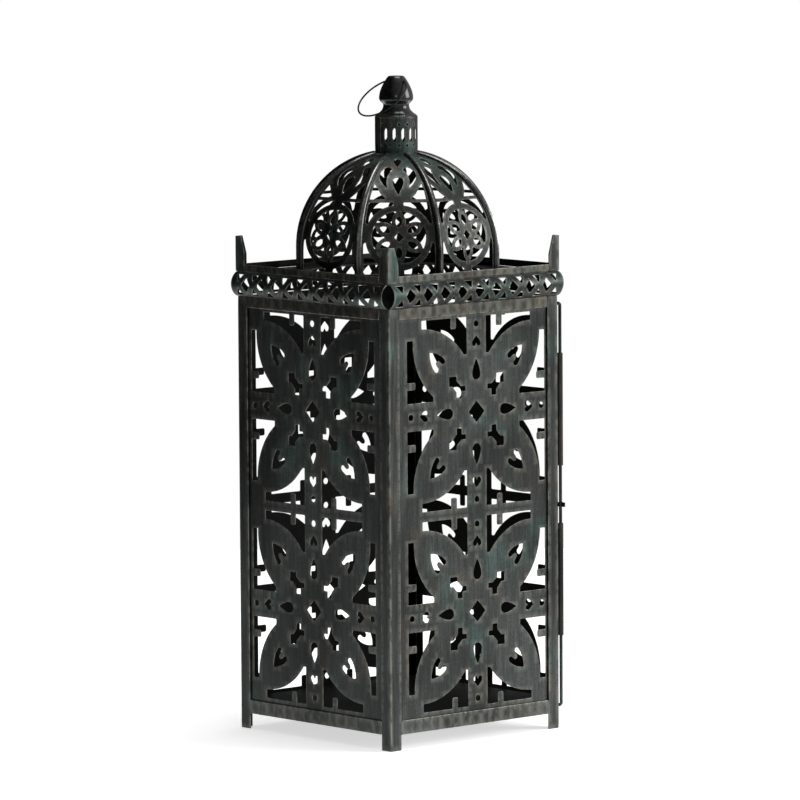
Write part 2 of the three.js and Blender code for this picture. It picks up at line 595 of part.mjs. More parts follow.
// ---------------------------------------------------------------- knob and hanging ring
function knob() {
  const foot = KNOB_HEIGHT - GAP;
  const rim = DRAWN.collarRadius - 0.6;
  const outside = [
    [6.9, 0], [9.4, 3.4], [12.2, 8.3], [14.5, 14], [15.4, 19.8], [14.4, 22], [11.9, 25],
    [11.9, 27.7], [12.9, 30.6], [15.5, 33.6], [rim, foot - 0.6], [rim, foot],
  ];
  const inside = [
    [15.4, foot], [10.4, 29], [10.4, 24.2], [13.6, 20.6], [14, 18.4],
    [13, 14], [10.6, 8.3], [8.2, 4.4], [6, KNOB_WALL],
  ];
  const wider = COLLAR_RADIUS / DRAWN.collarRadius;
  const profile = [...outside, ...inside].map(([radius, depth]) => point(radius * wider, OVERALL_HEIGHT - depth));
  profile.push(point(0, OVERALL_HEIGHT - KNOB_WALL));
  profile.unshift(point(0, OVERALL_HEIGHT));
  const shell = solidOf(new THREE.LatheGeometry(profile.reverse(), 16).rotateX(Math.PI / 2));
  const drill = new THREE.CylinderGeometry(RING_HOLE / 2, RING_HOLE / 2, 4 * RING_CHORD_HALF, 8);
  return geometryOf(shell.subtract(solidOf(drill.translate(0, 0, RING_AXIS_Z))));
}

add('knob', knob(), POLISHED);

/** A wire ring whose stretch inside the knob is straight, along the ring's hinge line. */
function hangingRing() {
  const torus = new THREE.TorusGeometry(RING_RADIUS, RING_WIRE / 2, 6, 30);
  const rest = THREE.MathUtils.degToRad(RING_REST_DEG);
  return formed(torus, 2, [], (x, y, w) => {
    const angle = Math.atan2(x, y);
    const radius = Math.hypot(x, y);
    const straight = RING_REACH / Math.cos(angle);
    const pulled = Math.abs(angle) < Math.PI / 2 && straight < RING_RADIUS ? straight - RING_RADIUS : 0;
    const across = (radius + pulled) * Math.sin(angle);
    const down = RING_REACH - (radius + pulled) * Math.cos(angle);
    const outX = -down * Math.sin(rest) + w * Math.cos(rest);
    const outZ = RING_AXIS_Z - down * Math.cos(rest) - w * Math.sin(rest);
    return [outX, across, outZ];
  });
}

add('hanging_ring', hangingRing(), IRON);

// ---------------------------------------------------------------- door, hinge and latch
const doorLeaf = box(DOOR_HINGE_EDGE, DOOR_FREE_EDGE, DOOR_FOOT_Z, DOOR_TOP_Z);
const piercedLeaf = punched(doorLeaf, piercedHoles(PATTERN_SHIFT.door_side), SHEET);
add('door_panel', standing(piercedLeaf, DOOR_FACE), VERDIGRIS, 90);

/** A tube standing on the hinge line, from one height to another. */
function sleeve(foot, top) {
  const outer = SLEEVE_OUTER / 2;
  const inner = SLEEVE_BORE / 2;
  const profile = [point(inner, foot), point(outer, foot), point(outer, top), point(inner, top), point(inner, foot)];
  return new THREE.LatheGeometry(profile, 12).rotateX(Math.PI / 2).translate(HINGE_U, -HINGE_OUT, 0);
}

SLEEVE_PLACES.forEach((share, k) => {
  const middle = DOOR_FOOT_Z + share * (DOOR_TOP_Z - DOOR_FOOT_Z);
  const name = k === 0 ? 'door_sleeve_lower' : 'door_sleeve_upper';
  add(name, sleeve(middle - SLEEVE_LENGTH / 2, middle + SLEEVE_LENGTH / 2), BRONZED, 90);
});

/** A rod along the hinge line, both ends bent back to the post. */
function hingeRod() {
  const reach = HINGE_STANDOFF - GAP;
  const bend = HINGE_ROD / 2 + 0.3;
  const low = DOOR_FOOT_Z + HINGE_ROD / 2;
  const high = DOOR_TOP_Z - HINGE_ROD / 2;
  const at = (out, z) => new THREE.Vector3(HINGE_U, -HINGE_OUT + out, z);
  const lower = [at(reach, low), at(bend, low), at(bend / 3, low + bend / 3), at(0, low + bend)];
  const upper = [at(0, high - bend), at(bend / 3, high - bend / 3), at(bend, high), at(reach, high)];
  const section = new THREE.Shape(arc(0, 0, HINGE_ROD / 2, 0, 2 * Math.PI, 8).slice(1));
  return alongPoints(section, [...lower, ...upper]);
}

/** Carries a section along straight stretches between stations, mitred at each. */
function alongPoints(section, stations) {
  const steps = stations.length - 1;
  const bar = new THREE.ExtrudeGeometry(section, { depth: 1, steps, bevelEnabled: false });
  const across = new THREE.Vector3(1, 0, 0);
  return formed(bar, 0, [], (a, b, along) => {
    const k = Math.round(along * steps);
    const before = stations[Math.max(k - 1, 0)];
    const after = stations[Math.min(k + 1, steps)];
    const ahead = after.clone().sub(before).normalize();
    const side = new THREE.Vector3().crossVectors(ahead, across);
    return stations[k].clone().addScaledVector(across, a).addScaledVector(side, b).toArray();
  });
}

add('hinge_rod', hingeRod(), IRON, 90);

/** A small eye round the rod with a tail on its outer side, between the two sleeves. */
function hingeStaple() {
  const { height, tail } = STAPLE;
  const round = (radius, tall) => {
    const cylinder = new THREE.CylinderGeometry(radius, radius, tall, 12).rotateX(Math.PI / 2);
    return solidOf(cylinder.translate(HINGE_U, -HINGE_OUT, LATCH_Z));
  };
  const prong = new THREE.BoxGeometry(tail, HINGE_ROD / 2, height);
  const tailed = solidOf(prong.translate(HINGE_U - tail / 2, -HINGE_OUT, LATCH_Z));
  const eye = round(SLEEVE_OUTER / 2, height).add(tailed);
  return geometryOf(eye.subtract(round(SLEEVE_BORE / 2, 2 * height)));
}

add('hinge_staple', hingeStaple(), IRON, 90);

/** A round pin lying square to the door, between two distances out from the lantern's axis. */
function pin(radius, u, from, to) {
  const cylinder = new THREE.CylinderGeometry(radius, radius, to - from, 10);
  return cylinder.translate(u, -(from + to) / 2, LATCH_Z);
}

const HOOK_BACK = DOOR_FACE + 0.8;
const HOOK_FACE = HOOK_BACK + LATCH.thick;
const shank = solidOf(pin(LATCH.pin, LATCH_U, HALF + GAP, HOOK_FACE + GAP + 0.2));
const head = solidOf(pin(LATCH.head, LATCH_U, HOOK_FACE + GAP, HOOK_FACE + GAP + 1));
add('latch_pivot', geometryOf(shank.add(head)), IRON, 90);
add('latch_stud', pin(LATCH.pin, LATCH_U - LATCH.reach, DOOR_FACE + GAP, HOOK_FACE + 0.8), IRON, 90);

/** A flat hook that turns on the pivot and drops over the stud on the door. */
function latchHook() {
  const { reach, arm, pin: radius, slack } = LATCH;
  const slot = radius + slack;
  const outline = [
    point(arm - 0.5, -arm / 2),
    point(-reach + slot, -arm / 2),
    point(-reach + slot, slot),
    point(-reach - slot, slot),
    point(-reach - slot, -arm / 2),
    point(-reach - slot - 1.6, -arm / 2),
    point(-reach - slot - 2.4, slot),
    point(-reach - slot, arm + 1),
    point(arm - 0.5, arm - 0.5),
  ];
  const bore = arc(0, 0, slot, 0, 2 * Math.PI, 10).slice(1);
  const heightened = outline.map((p) => point(p.x, p.y < 0 ? p.y - 1 : p.y));
  return standing(sheet(heightened, [bore], LATCH.thick).translate(LATCH_U, 0, 0), HOOK_FACE, LATCH_Z);
}

add('latch_hook', latchHook(), IRON, 90);

export default group;
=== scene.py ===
"""The finished look of a pierced metal lantern, built round its fixed frame.

Every sheet of the lantern is worked out flat, in millimetres, as an outline with openings,
then folded, rolled or bent into place. Each cut edge carries a small rounded profile, and
the finish reads two attributes kept on the points: "edge" for cut edges painted pale, partly
as wear and partly as a painted highlight, and "inner" for painted shade, near black, on the
inside faces, the walls of the cuts and the undersides of the ribs.
"""

import json
import logging
import math
from collections.abc import Callable, Sequence
from dataclasses import dataclass, field
from enum import Enum

import bmesh
import bpy
import numpy as np
from mathutils import Matrix, Vector
from mathutils.geometry import delaunay_2d_cdt


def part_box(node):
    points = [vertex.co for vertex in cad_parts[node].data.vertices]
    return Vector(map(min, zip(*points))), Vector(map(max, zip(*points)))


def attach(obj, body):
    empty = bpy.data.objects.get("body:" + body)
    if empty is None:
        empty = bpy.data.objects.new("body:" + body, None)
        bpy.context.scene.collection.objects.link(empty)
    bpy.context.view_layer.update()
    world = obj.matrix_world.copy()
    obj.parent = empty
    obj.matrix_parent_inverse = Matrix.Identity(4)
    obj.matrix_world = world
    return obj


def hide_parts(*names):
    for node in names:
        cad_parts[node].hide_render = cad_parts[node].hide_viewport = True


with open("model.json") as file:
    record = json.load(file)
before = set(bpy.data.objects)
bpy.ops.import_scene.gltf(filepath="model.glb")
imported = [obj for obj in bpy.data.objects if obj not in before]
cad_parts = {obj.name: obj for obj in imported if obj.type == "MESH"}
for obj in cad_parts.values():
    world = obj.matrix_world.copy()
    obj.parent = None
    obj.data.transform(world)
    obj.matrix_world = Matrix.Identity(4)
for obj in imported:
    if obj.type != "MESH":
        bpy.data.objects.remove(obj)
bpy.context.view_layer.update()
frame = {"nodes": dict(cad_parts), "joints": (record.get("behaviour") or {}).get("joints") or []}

LOG = logging.getLogger("lantern")
MM = 0.001
Place = Callable[[np.ndarray, np.ndarray, np.ndarray], np.ndarray]
Socket = bpy.types.NodeSocket
Triple = tuple[float, float, float]


# ------------------------------------------------------------------ the frame's own places
def low(node: str) -> np.ndarray:
    """Returns the lowest corner of a frame node, in millimetres."""
    return np.array(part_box(node)[0]) / MM


def high(node: str) -> np.ndarray:
    """Returns the highest corner of a frame node, in millimetres."""
    return np.array(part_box(node)[1]) / MM


@dataclass(frozen=True)
class FrameSizes:
    """Places that the finished pieces take from the frame, in millimetres."""

    half: float = float(-low("corner_post_front_left")[1])
    leg: float = float(high("corner_post_front_left")[0] - low("corner_post_front_left")[0])
    post_top: float = float(high("corner_post_front_left")[2])
    eave_foot: float = float(low("eave_band_front")[2])
    eave_top: float = float(high("eave_band_front")[2])
    eave_face: float = float(-low("eave_band_front")[1])
    top_frame: float = float(low("top_rail_front")[2])
    panel_face: float = float(-low("pierced_panel_front")[1])
    sheet: float = float(high("pierced_panel_front")[1] - low("pierced_panel_front")[1])
    iron: float = float(high("top_rail_front")[1] - low("top_rail_front")[1])
    collar_foot: float = float(low("collar")[2])
    collar_top: float = float(high("collar")[2])
    top: float = float(high("knob")[2])
    top_half: float = float(-low("top_rail_front")[1])


SIZES = FrameSizes()


class Side(Enum):
    """The four faces of the body, each with its turn from the front, in degrees."""

    FRONT = ("front", 0)
    DOOR = ("door_side", 90)
    BACK = ("back", 180)
    LEFT = ("left", 270)

    @property
    def word(self) -> str:
        """Returns the word used in the frame's node names."""
        return self.value[0]

    @property
    def turn(self) -> float:
        """Returns the turn about the upright axis, in degrees."""
        return self.value[1]


CORNERS = ("front_left", "front_right", "back_right", "back_left")


# ------------------------------------------------------------------ finishes
@dataclass(frozen=True)
class Patina:
    """An antique metal finish: dark base, brushed streaks, green and brown blooms, cut edges painted pale partly as
    wear and partly as a painted highlight, and painted shade on the inside.
    """

    name: str
    base: tuple[float, float, float] = (0.030, 0.033, 0.032)
    brown: tuple[float, float, float] = (0.052, 0.043, 0.035)
    green: tuple[float, float, float] = (0.045, 0.078, 0.070)
    # Pale colour of the cut edges: partly wear, partly a painted highlight.
    wear_and_highlight: tuple[float, float, float] = (0.50, 0.50, 0.42)
    # Near-black colour of the painted shade on the inside faces, the cut walls and the rib undersides.
    soot: tuple[float, float, float] = (0.003, 0.003, 0.003)
    green_low: float = 0.52
    green_high: float = 0.78
    brown_low: float = 0.55
    # Most paleness of the cut edges, partly wear and partly a painted highlight.
    edge_wear_and_highlight: float = 0.55
    roughness: float = 0.42
    metallic: float = 0.85
    streak: float = 0.20
    bump: float = 0.14
    sheen: float = 0.40
    coat: float = 0.0

    def material(self) -> bpy.types.Material:
        """Builds the finish as nodes.

        Returns:
            The material, read by Object coordinates and the attributes edge and inner.
        """
        material = bpy.data.materials.new(self.name)
        material.use_nodes = True
        nodes, links = material.node_tree.nodes, material.node_tree.links
        shader = nodes["Principled BSDF"]
        shader.inputs["Metallic"].default_value = self.metallic
        shader.inputs["Coat Weight"].default_value = self.coat
        shader.inputs["Coat Roughness"].default_value = 0.14
        place = nodes.new("ShaderNodeTexCoord")

        def noise(scale: float, detail: float, stretch: Triple, shift: float) -> Socket:
            """Returns a noise value on stretched object coordinates."""
            mapping = nodes.new("ShaderNodeMapping")
            mapping.inputs["Scale"].default_value = stretch
            mapping.inputs["Location"].default_value = (shift, 0.7 * shift, 1.3 * shift)
            links.new(place.outputs["Object"], mapping.inputs["Vector"])
            texture = nodes.new("ShaderNodeTexNoise")
            texture.inputs["Scale"].default_value = scale
            texture.inputs["Detail"].default_value = detail
            links.new(mapping.outputs["Vector"], texture.inputs["Vector"])
            return texture.outputs["Fac"]

        def ramp(value: Socket, start: float, end: float, out_low: float, out_high: float) -> Socket:
            """Returns value eased from one range to another and held at both ends."""
            node = nodes.new("ShaderNodeMapRange")
            node.interpolation_type = "SMOOTHSTEP"
            keys = ("From Min", "From Max", "To Min", "To Max")
            for key, number in zip(keys, (start, end, out_low, out_high)):
                node.inputs[key].default_value = number
            links.new(value, node.inputs["Value"])
            return node.outputs["Result"]

        def mix(amount: Socket, first: Socket | Triple, second: Socket | Triple) -> Socket:
            """Returns two colours mixed by an amount; each is a socket or three numbers."""
            node = nodes.new("ShaderNodeMix")
            node.data_type = "RGBA"
            links.new(amount, node.inputs["Factor"])
            for key, colour in ((6, first), (7, second)):
                if isinstance(colour, tuple):
                    node.inputs[key].default_value = (*colour, 1.0)
                else:
                    links.new(colour, node.inputs[key])
            return node.outputs[2]

        def times(first: Socket, second: Socket | float, operation: str = "MULTIPLY") -> Socket:
            """Returns two values combined by a math operation."""
            node = nodes.new("ShaderNodeMath")
            node.operation = operation
            links.new(first, node.inputs[0])
            if isinstance(second, float):
                node.inputs[1].default_value = second
            else:
                links.new(second, node.inputs[1])
            return node.outputs[0]

        def attribute(name: str) -> Socket:
            """Returns the value of a piece's own attribute."""
            node = nodes.new("ShaderNodeAttribute")
            node.attribute_name = name
            return node.outputs["Fac"]

        streaks = noise(700.0, 3.0, (1.0, 1.0, 0.05), 0.0)
        broad = noise(160.0, 2.0, (1.0, 1.0, 0.10), 3.1)
        cloud = noise(24.0, 4.0, (1.0, 1.0, 0.8), 5.7)
        second_cloud = noise(38.0, 4.0, (1.0, 1.0, 0.6), 11.3)
        wide_cloud = noise(9.0, 2.0, (1.0, 1.0, 0.7), 17.9)
        grain = noise(1500.0, 2.0, (1.0, 1.0, 0.5), 2.0)

        green_amount = times(
            ramp(cloud, self.green_low, self.green_high, 0.0, 1.0), ramp(streaks, 0.3, 0.62, 0.45, 1.0)
        )
        brown_amount = ramp(second_cloud, self.brown_low, self.brown_low + 0.2, 0.0, 0.8)
        colour = mix(brown_amount, self.base, self.brown)
        colour = mix(green_amount, colour, self.green)
        light = ramp(streaks, 0.34, 0.68, 1.0 - self.streak, 1.0 + self.streak)
        light = times(light, ramp(broad, 0.35, 0.65, 0.86, 1.14))
        light = times(light, ramp(grain, 0.3, 0.7, 0.74, 1.26))
        light = times(light, ramp(wide_cloud, 0.36, 0.64, 1.0 - self.sheen, 1.0 + self.sheen))
        shade = nodes.new("ShaderNodeVectorMath")
        shade.operation = "SCALE"
        links.new(colour, shade.inputs[0])
        links.new(light, shade.inputs["Scale"])
        # Pale cut edges: partly wear, partly a painted highlight on the rounded edges, mixed in by the edge attribute
        # and broken up by noise.
        wear_and_highlight_noise = noise(210.0, 3.0, (1.0, 1.0, 0.5), 8.0)
        wear_and_highlight_amount = times(attribute("edge"), ramp(wear_and_highlight_noise, 0.38, 0.60, 0.15, self.edge_wear_and_highlight))
        colour = mix(wear_and_highlight_amount, shade.outputs["Vector"], self.wear_and_highlight)
        # Painted shade: where inner is high (inside faces, cut walls, rib undersides) the colour is mixed up to 0.85
        # towards near black.
        colour = mix(ramp(attribute("inner"), 0.0, 1.0, 0.0, 0.85), colour, self.soot)
        links.new(colour, shader.inputs["Base Color"])

        rough = ramp(streaks, 0.3, 0.7, self.roughness - 0.07, self.roughness + 0.10)
        rough = times(rough, times(green_amount, 0.18), "ADD")
        links.new(times(rough, ramp(grain, 0.3, 0.7, -0.04, 0.04), "ADD"), shader.inputs["Roughness"])
        bump = nodes.new("ShaderNodeBump")
        bump.inputs["Strength"].default_value = self.bump
        bump.inputs["Distance"].default_value = 0.0003
        height = times(streaks, times(grain, 0.4), "ADD")
        links.new(times(height, times(cloud, 1.5), "ADD"), bump.inputs["Height"])
        links.new(bump.outputs["Normal"], shader.inputs["Normal"])
        return material


@dataclass
class Finishes:
    """All the lantern's finishes, one for each kind of piece."""

    panel: bpy.types.Material = field(default_factory=Patina("aged_panel").material)
    band: bpy.types.Material = field(
        default_factory=Patina("green_band", green_low=0.42, green_high=0.66, edge_wear_and_highlight=0.6).material
    )
    iron: bpy.types.Material = field(
        default_factory=Patina("aged_angle_iron", green_low=0.56, edge_wear_and_highlight=0.6, roughness=0.38).material
    )
    rail: bpy.types.Material = field(
        default_factory=Patina("bronzed_rail", green_low=0.6, brown_low=0.42, roughness=0.40).material
    )
    dome: bpy.types.Material = field(
        default_factory=Patina(
            "dome_sheet", green_low=0.50, green_high=0.74, brown_low=0.5, roughness=0.42
        ).material
    )
    # Rib finish: its crest is painted pale, partly wear and partly a painted highlight.
    rib: bpy.types.Material = field(
        default_factory=Patina(
            "rib_wear_and_crest_highlight",
            base=(0.040, 0.042, 0.043),
            green_low=0.6,
            roughness=0.24,
            streak=0.4,
            coat=0.6,
            bump=0.15,
        ).material
    )
    knob: bpy.types.Material = field(
        default_factory=Patina(
            "dark_gloss_knob", base=(0.022, 0.023, 0.024), green_low=0.60, roughness=0.24, bump=0.12, coat=0.5
        ).material
    )
    wire: bpy.types.Material = field(
        default_factory=Patina(
            "dark_wire", base=(0.022, 0.022, 0.023), green_low=0.7, roughness=0.34
        ).material
    )
    # Plate finish: a darker base; its inside faces take the painted shade like every finish.
    plate: bpy.types.Material = field(
        default_factory=Patina(
            "dark_plate", base=(0.020, 0.021, 0.022), green_low=0.62, roughness=0.5
        ).material
    )


# ------------------------------------------------------------------ flat outlines
def arc(cx: float, cy: float, radius: float, start: float, end: float, spacing: float = 0.7) -> np.ndarray:
    """Returns points on a circle from one angle to another, in radians, both ends included."""
    count = max(int(abs(end - start) * radius / spacing), 3)
    angles = np.linspace(start, end, count + 1)
    return np.column_stack([cx + radius * np.cos(angles), cy + radius * np.sin(angles)])


def box_loop(u0: float, u1: float, v0: float, v1: float) -> np.ndarray:
    """Returns a rectangle's four corners, anticlockwise."""
    return np.array([[u0, v0], [u1, v0], [u1, v1], [u0, v1]], float)


def teardrop(tip: float, end: float, radius: float) -> np.ndarray:
    """Returns a drop on the first axis, pointed at tip and round at end.

    From the tip to the widest place the half width is radius * sin(t * pi / 2), with t from
    0 to 1, and from there to the end it follows a circle.
    """
    sign = 1.0 if end > tip else -1.0
    centre = end - sign * radius
    share = np.linspace(0.0, 1.0, 24)
    side = np.column_stack([tip + (centre - tip) * share, radius * np.sin(share * np.pi / 2)])
    angles = np.linspace(np.pi / 2, 0.0, 14)[1:]
    cap = np.column_stack([centre + sign * radius * np.cos(angles), radius * np.sin(angles)])
    upper = np.vstack([side, cap])
    return np.vstack([upper, (upper * [1, -1])[::-1][1:-1]])


def almond(start: float, end: float, half_width: float) -> np.ndarray:
    """Returns a leaf on the first axis whose two sides are circular arcs."""
    half = (end - start) / 2
    radius = (half**2 + half_width**2) / (2 * half_width)
    sweep = math.asin(half / radius)
    middle = (start + end) / 2
    upper = arc(middle, half_width - radius, radius, math.pi / 2 + sweep, math.pi / 2 - sweep)
    return np.vstack([upper, (upper * [1, -1])[::-1][1:-1]])


def turned(loop: np.ndarray, angle: float) -> np.ndarray:
    """Returns a loop turned about the origin."""
    cos, sin = math.cos(angle), math.sin(angle)
    return loop @ np.array([[cos, sin], [-sin, cos]])


def mirrored(loop: np.ndarray) -> np.ndarray:
    """Returns a loop mirrored left to right."""
    return loop * [-1, 1]


def soften(loop: np.ndarray, spacing: float = 0.8, radius: float = 0.45) -> np.ndarray:
    """Spaces a closed loop evenly and rounds its corners as a file would.

    Each new point is the mean of the points beside it along the loop, weighted by a bell
    curve whose spread is radius.

    Args:
        loop: The closed outline, without its first point repeated.
        spacing: The distance between new points.
        radius: How far the rounding reaches.

    Returns:
        The new closed loop.
    """
    closed = np.vstack([loop, loop[:1]])
    lengths = np.hypot(*np.diff(closed, axis=0).T)
    along = np.concatenate([[0.0], np.cumsum(lengths)])
    count = max(int(round(along[-1] / spacing)), 10)
    stations = np.linspace(0.0, along[-1], count, endpoint=False)
    points = np.column_stack([np.interp(stations, along, closed[:, k]) for k in (0, 1)])
    step = along[-1] / count
    reach = min(int(math.ceil(3 * radius / step)), count // 3)
    offsets = np.arange(-reach, reach + 1)
    weights = np.exp(-0.5 * (offsets * step / radius) ** 2)
    weights /= weights.sum()
    picked = points[(np.arange(count)[:, None] + offsets) % count]
    return (picked * weights[None, :, None]).sum(axis=1)


def wound(loop: np.ndarray, anticlockwise: bool) -> np.ndarray:
    """Returns a loop that runs the way asked for."""
    nxt = np.roll(loop, -1, axis=0)
    area = (loop[:, 0] * nxt[:, 1] - nxt[:, 0] * loop[:, 1]).sum()
    return loop if (area > 0) == anticlockwise else loop[::-1]


def inside(points: np.ndarray, loops: Sequence[np.ndarray]) -> np.ndarray:
    """Returns which points have an odd number of loop edges to their right."""
    odd = np.zeros(len(points), bool)
    for loop in loops:
        nxt = np.roll(loop, -1, axis=0)
        for block in range(0, len(points), 4000):
            part = points[block : block + 4000, None]
            spans = (loop[None, :, 1] > part[..., 1]) != (nxt[None, :, 1] > part[..., 1])
            rise = np.where(nxt[:, 1] == loop[:, 1], 1e-9, nxt[:, 1] - loop[:, 1])
            cross = loop[:, 0] + (part[..., 1] - loop[:, 1]) * (nxt[:, 0] - loop[:, 0]) / rise
            odd[block : block + 4000] ^= (spans & (part[..., 0] < cross)).sum(axis=1) % 2 == 1
    return odd


# ------------------------------------------------------------------ meshes
def put(name: str, points: np.ndarray, faces: Sequence[Sequence[int]], turn: float = 0.0) -> bpy.types.Object:
    """Puts millimetre points and faces into a new object at the origin.

    Args:
        name: The object's name.
        points: Corner places in millimetres, one row each.
        faces: Corner numbers of each face, outside seen anticlockwise.
        turn: A turn about the upright axis, in degrees, taken by the points themselves.

    Returns:
        The new object, shaded smooth.
    """
    angle = math.radians(turn)
    cos, sin = math.cos(angle), math.sin(angle)
    spin = np.array([[cos, sin, 0], [-sin, cos, 0], [0, 0, 1]])
    mesh = bpy.data.meshes.new(name)
    mesh.from_pydata((points @ spin * MM).tolist(), [], [list(f) for f in faces])
    mesh.polygons.foreach_set("use_smooth", np.ones(len(mesh.polygons), bool))
    obj = bpy.data.objects.new(name, mesh)
    bpy.context.scene.collection.objects.link(obj)
    return obj


def mark(obj: bpy.types.Object, name: str, values: np.ndarray) -> None:
    """Keeps one number for each corner point of the object under a name."""
    data = obj.data.attributes.new(name, "FLOAT", "POINT")
    data.data.foreach_set("value", np.asarray(values, np.float32))


@dataclass(frozen=True)
class Sheet:
    """A flat sheet with openings, to be formed into place.

    Attributes:
        outline: The outer loop, in millimetres.
        holes: The openings' loops.
        thickness: From the front face at w = 0 to the back face.
        columns: Places across at which the sheet can bend.
        rows: Places up at which the sheet can bend.
        rounding: Radius of the front edge of every cut, rounded as by wear.
        fold_wear_and_highlight: How far the line u = 0 is painted pale, for a folded corner: partly wear, partly a
            painted highlight along the fold.
    """

    outline: np.ndarray
    holes: Sequence[np.ndarray]
    thickness: float
    columns: np.ndarray
    rows: np.ndarray
    rounding: float = 0.25
    fold_wear_and_highlight: float = 0.0

    def edge_profile(self) -> np.ndarray:
        """Returns the cut edge's profile: inset, w, edge and inner at each step.

        The front corner is a quarter circle, then the wall runs straight to the back, which
        has a small bevel of its own.
        """
        angles = np.radians([0.0, 30.0, 60.0, 90.0])
        front = np.column_stack(
            [
                self.rounding * (1 - np.sin(angles)),
                -self.rounding * (1 - np.cos(angles)),
                # edge column: pale paint on the rounded front corner, partly wear and partly a painted highlight.
                [0.25, 1.0, 1.0, 0.55],
                # inner column: painted shade, none on the front corner, rising down the cut wall.
                [0.0, 0.0, 0.0, 0.05],
            ]
        )
        # Back rings: a little pale edge, and painted shade of 0.6 on the wall and 1.0 at the back face.
        back = [[0.0, -self.thickness + 0.15, 0.25, 0.6], [0.15, -self.thickness, 0.1, 1.0]]
        return np.vstack([front, back])

    def formed(self, name: str, place: Place, turn: float = 0.0) -> bpy.types.Object:
        """Fills, thickens and forms the sheet.

        The front face is the triangulation of the inset loops and of the bend points that lie
        on metal, the back face is the same one reversed, and the edge profile is carried round
        every loop between them.

        Args:
            name: The new object's name.
            place: Gives the place in millimetres of arrays of u, v and w.
            turn: A turn about the upright axis, in degrees.

        Returns:
            The new object, with its attributes edge and inner.
        """
        loops = [wound(self.outline, True), *[wound(hole, False) for hole in self.holes]]
        tangents = [np.roll(loop, -1, axis=0) - np.roll(loop, 1, axis=0) for loop in loops]
        normals = [np.column_stack([-t[:, 1], t[:, 0]]) / np.hypot(*t.T)[:, None] for t in tangents]
        rim, inward = np.vstack(loops), np.vstack(normals)
        sizes = [len(loop) for loop in loops]
        starts = np.concatenate([[0], np.cumsum(sizes)])
        ahead = np.concatenate([np.roll(np.arange(s, s + n), -1) for s, n in zip(starts, sizes)])
        grid = np.stack(np.meshgrid(self.columns, self.rows), -1).reshape(-1, 2)
        grid = grid[inside(grid, loops)]
        clear = np.array([np.hypot(*(rim - p).T).min() > 0.75 for p in grid], bool)
        grid = grid[clear] if len(grid) else grid.reshape(0, 2)

        profile = self.edge_profile()
        count, rings = len(rim), len(profile)
        face = np.vstack([rim + profile[0, 0] * inward, grid])
        edges = np.column_stack([np.arange(count), ahead])
        out = delaunay_2d_cdt([Vector(p) for p in face], edges.tolist(), [], 0, 1e-6)
        source = np.array([ids[0] if ids else -1 for ids in out[3]])
        triangles = source[np.array(out[2])]
        triangles = triangles[(triangles >= 0).all(axis=1)]
        middles = face[triangles].mean(axis=1)
        triangles = triangles[inside(middles, [face[s : s + n] for s, n in zip(starts, sizes)])]

        flat = [rim + inset * inward for inset in profile[:, 0]]
        uv = np.vstack([*flat, grid, grid])
        inner_face = np.full(len(grid), -self.thickness)
        w = np.concatenate([np.repeat(profile[:, 1], count), np.zeros(len(grid)), inner_face])
        base = count * rings
        front = np.where(triangles < count, triangles, triangles - count + base)
        on_edge, off_edge = triangles + count * (rings - 1), triangles - count + base + len(grid)
        back = np.where(triangles < count, on_edge, off_edge)
        ring = np.arange(count)
        strips = [
            np.column_stack(
                [k * count + ring, (k + 1) * count + ring, (k + 1) * count + ahead, k * count + ahead]
            )
            for k in range(rings - 1)
        ]
        faces = front.tolist() + back[:, ::-1].tolist() + np.vstack(strips).tolist()
        obj = put(name, place(uv[:, 0], uv[:, 1], w), faces, turn)
        # edge: how pale each point is painted, partly wear and partly a painted highlight on the rounded front
        # corner.
        edge = np.concatenate([np.repeat(profile[:, 2], count), np.zeros(2 * len(grid))])
        # inner: painted shade on the cut walls and over the whole back face, which faces the inside.
        inner = np.concatenate([np.repeat(profile[:, 3], count), np.zeros(len(grid)), np.ones(len(grid))])
        # Painted highlight along the fold, partly wear: the line u = 0 is painted pale.
        fold = self.fold_wear_and_highlight * np.exp(-((uv[:, 0] / 0.9) ** 2))
        mark(obj, "edge", np.maximum(edge, fold))
        mark(obj, "inner", inner)
        self.crease(obj, count, rings)
        return obj

    def crease(self, obj: bpy.types.Object, count: int, rings: int) -> None:
        """Keeps the faces' shading apart from the edges' at the first and last rings."""
        edges = np.empty(2 * len(obj.data.edges), np.int32)
        obj.data.edges.foreach_get("vertices", edges)
        rows = np.where(edges.reshape(-1, 2) < count * rings, edges.reshape(-1, 2) // count, -1)
        same = rows[:, 0] == rows[:, 1]
        sharp = same & np.isin(rows[:, 0], [0, rings - 2, rings - 1])
        data = obj.data.attributes.new("sharp_edge", "BOOLEAN", "EDGE")
        data.data.foreach_set("value", sharp)


def standing(face: float, lift: float = 0.0) -> Place:
    """Returns a place on the face that looks forwards: u across, v up, w outwards."""
    return lambda u, v, w: np.column_stack([u, -(face + w), v + lift])


def lying(level: float) -> Place:
    """Returns a place on a level face: u and v across, w up."""
    return lambda u, v, w: np.column_stack([u, v, level + w])


def folded(half: float, radius: float, lift: float = 0.0) -> Place:
    """Returns a place on a sheet folded square round an upright corner.

    Within a quarter turn's length of u = 0 the sheet follows a circle of the given radius
    about the corner's centre, and beyond it runs straight along either face.
    """
    bend = radius * math.pi / 4

    def place(u: np.ndarray, v: np.ndarray, w: np.ndarray) -> np.ndarray:
        """Folds the points."""
        angle = math.pi / 4 - np.clip(u, -bend, bend) / radius
        x = -half + radius - (radius + w) * np.sin(angle) + np.maximum(u - bend, 0)
        y = -half + radius - (radius + w) * np.cos(angle) + np.maximum(-u - bend, 0)
        return np.column_stack([x, y, v + lift])

    return place


def grid_faces(rows: int, columns: int, closed: bool) -> np.ndarray:
    """Returns the quads of a grid of points, row by row, closed across its columns or not."""
    across = np.arange(columns if closed else columns - 1)
    first = (np.arange(rows - 1)[:, None] * columns + across).ravel()
    second = (np.arange(rows - 1)[:, None] * columns + (across + 1) % columns).ravel()
    return np.column_stack([first, second, second + columns, first + columns])


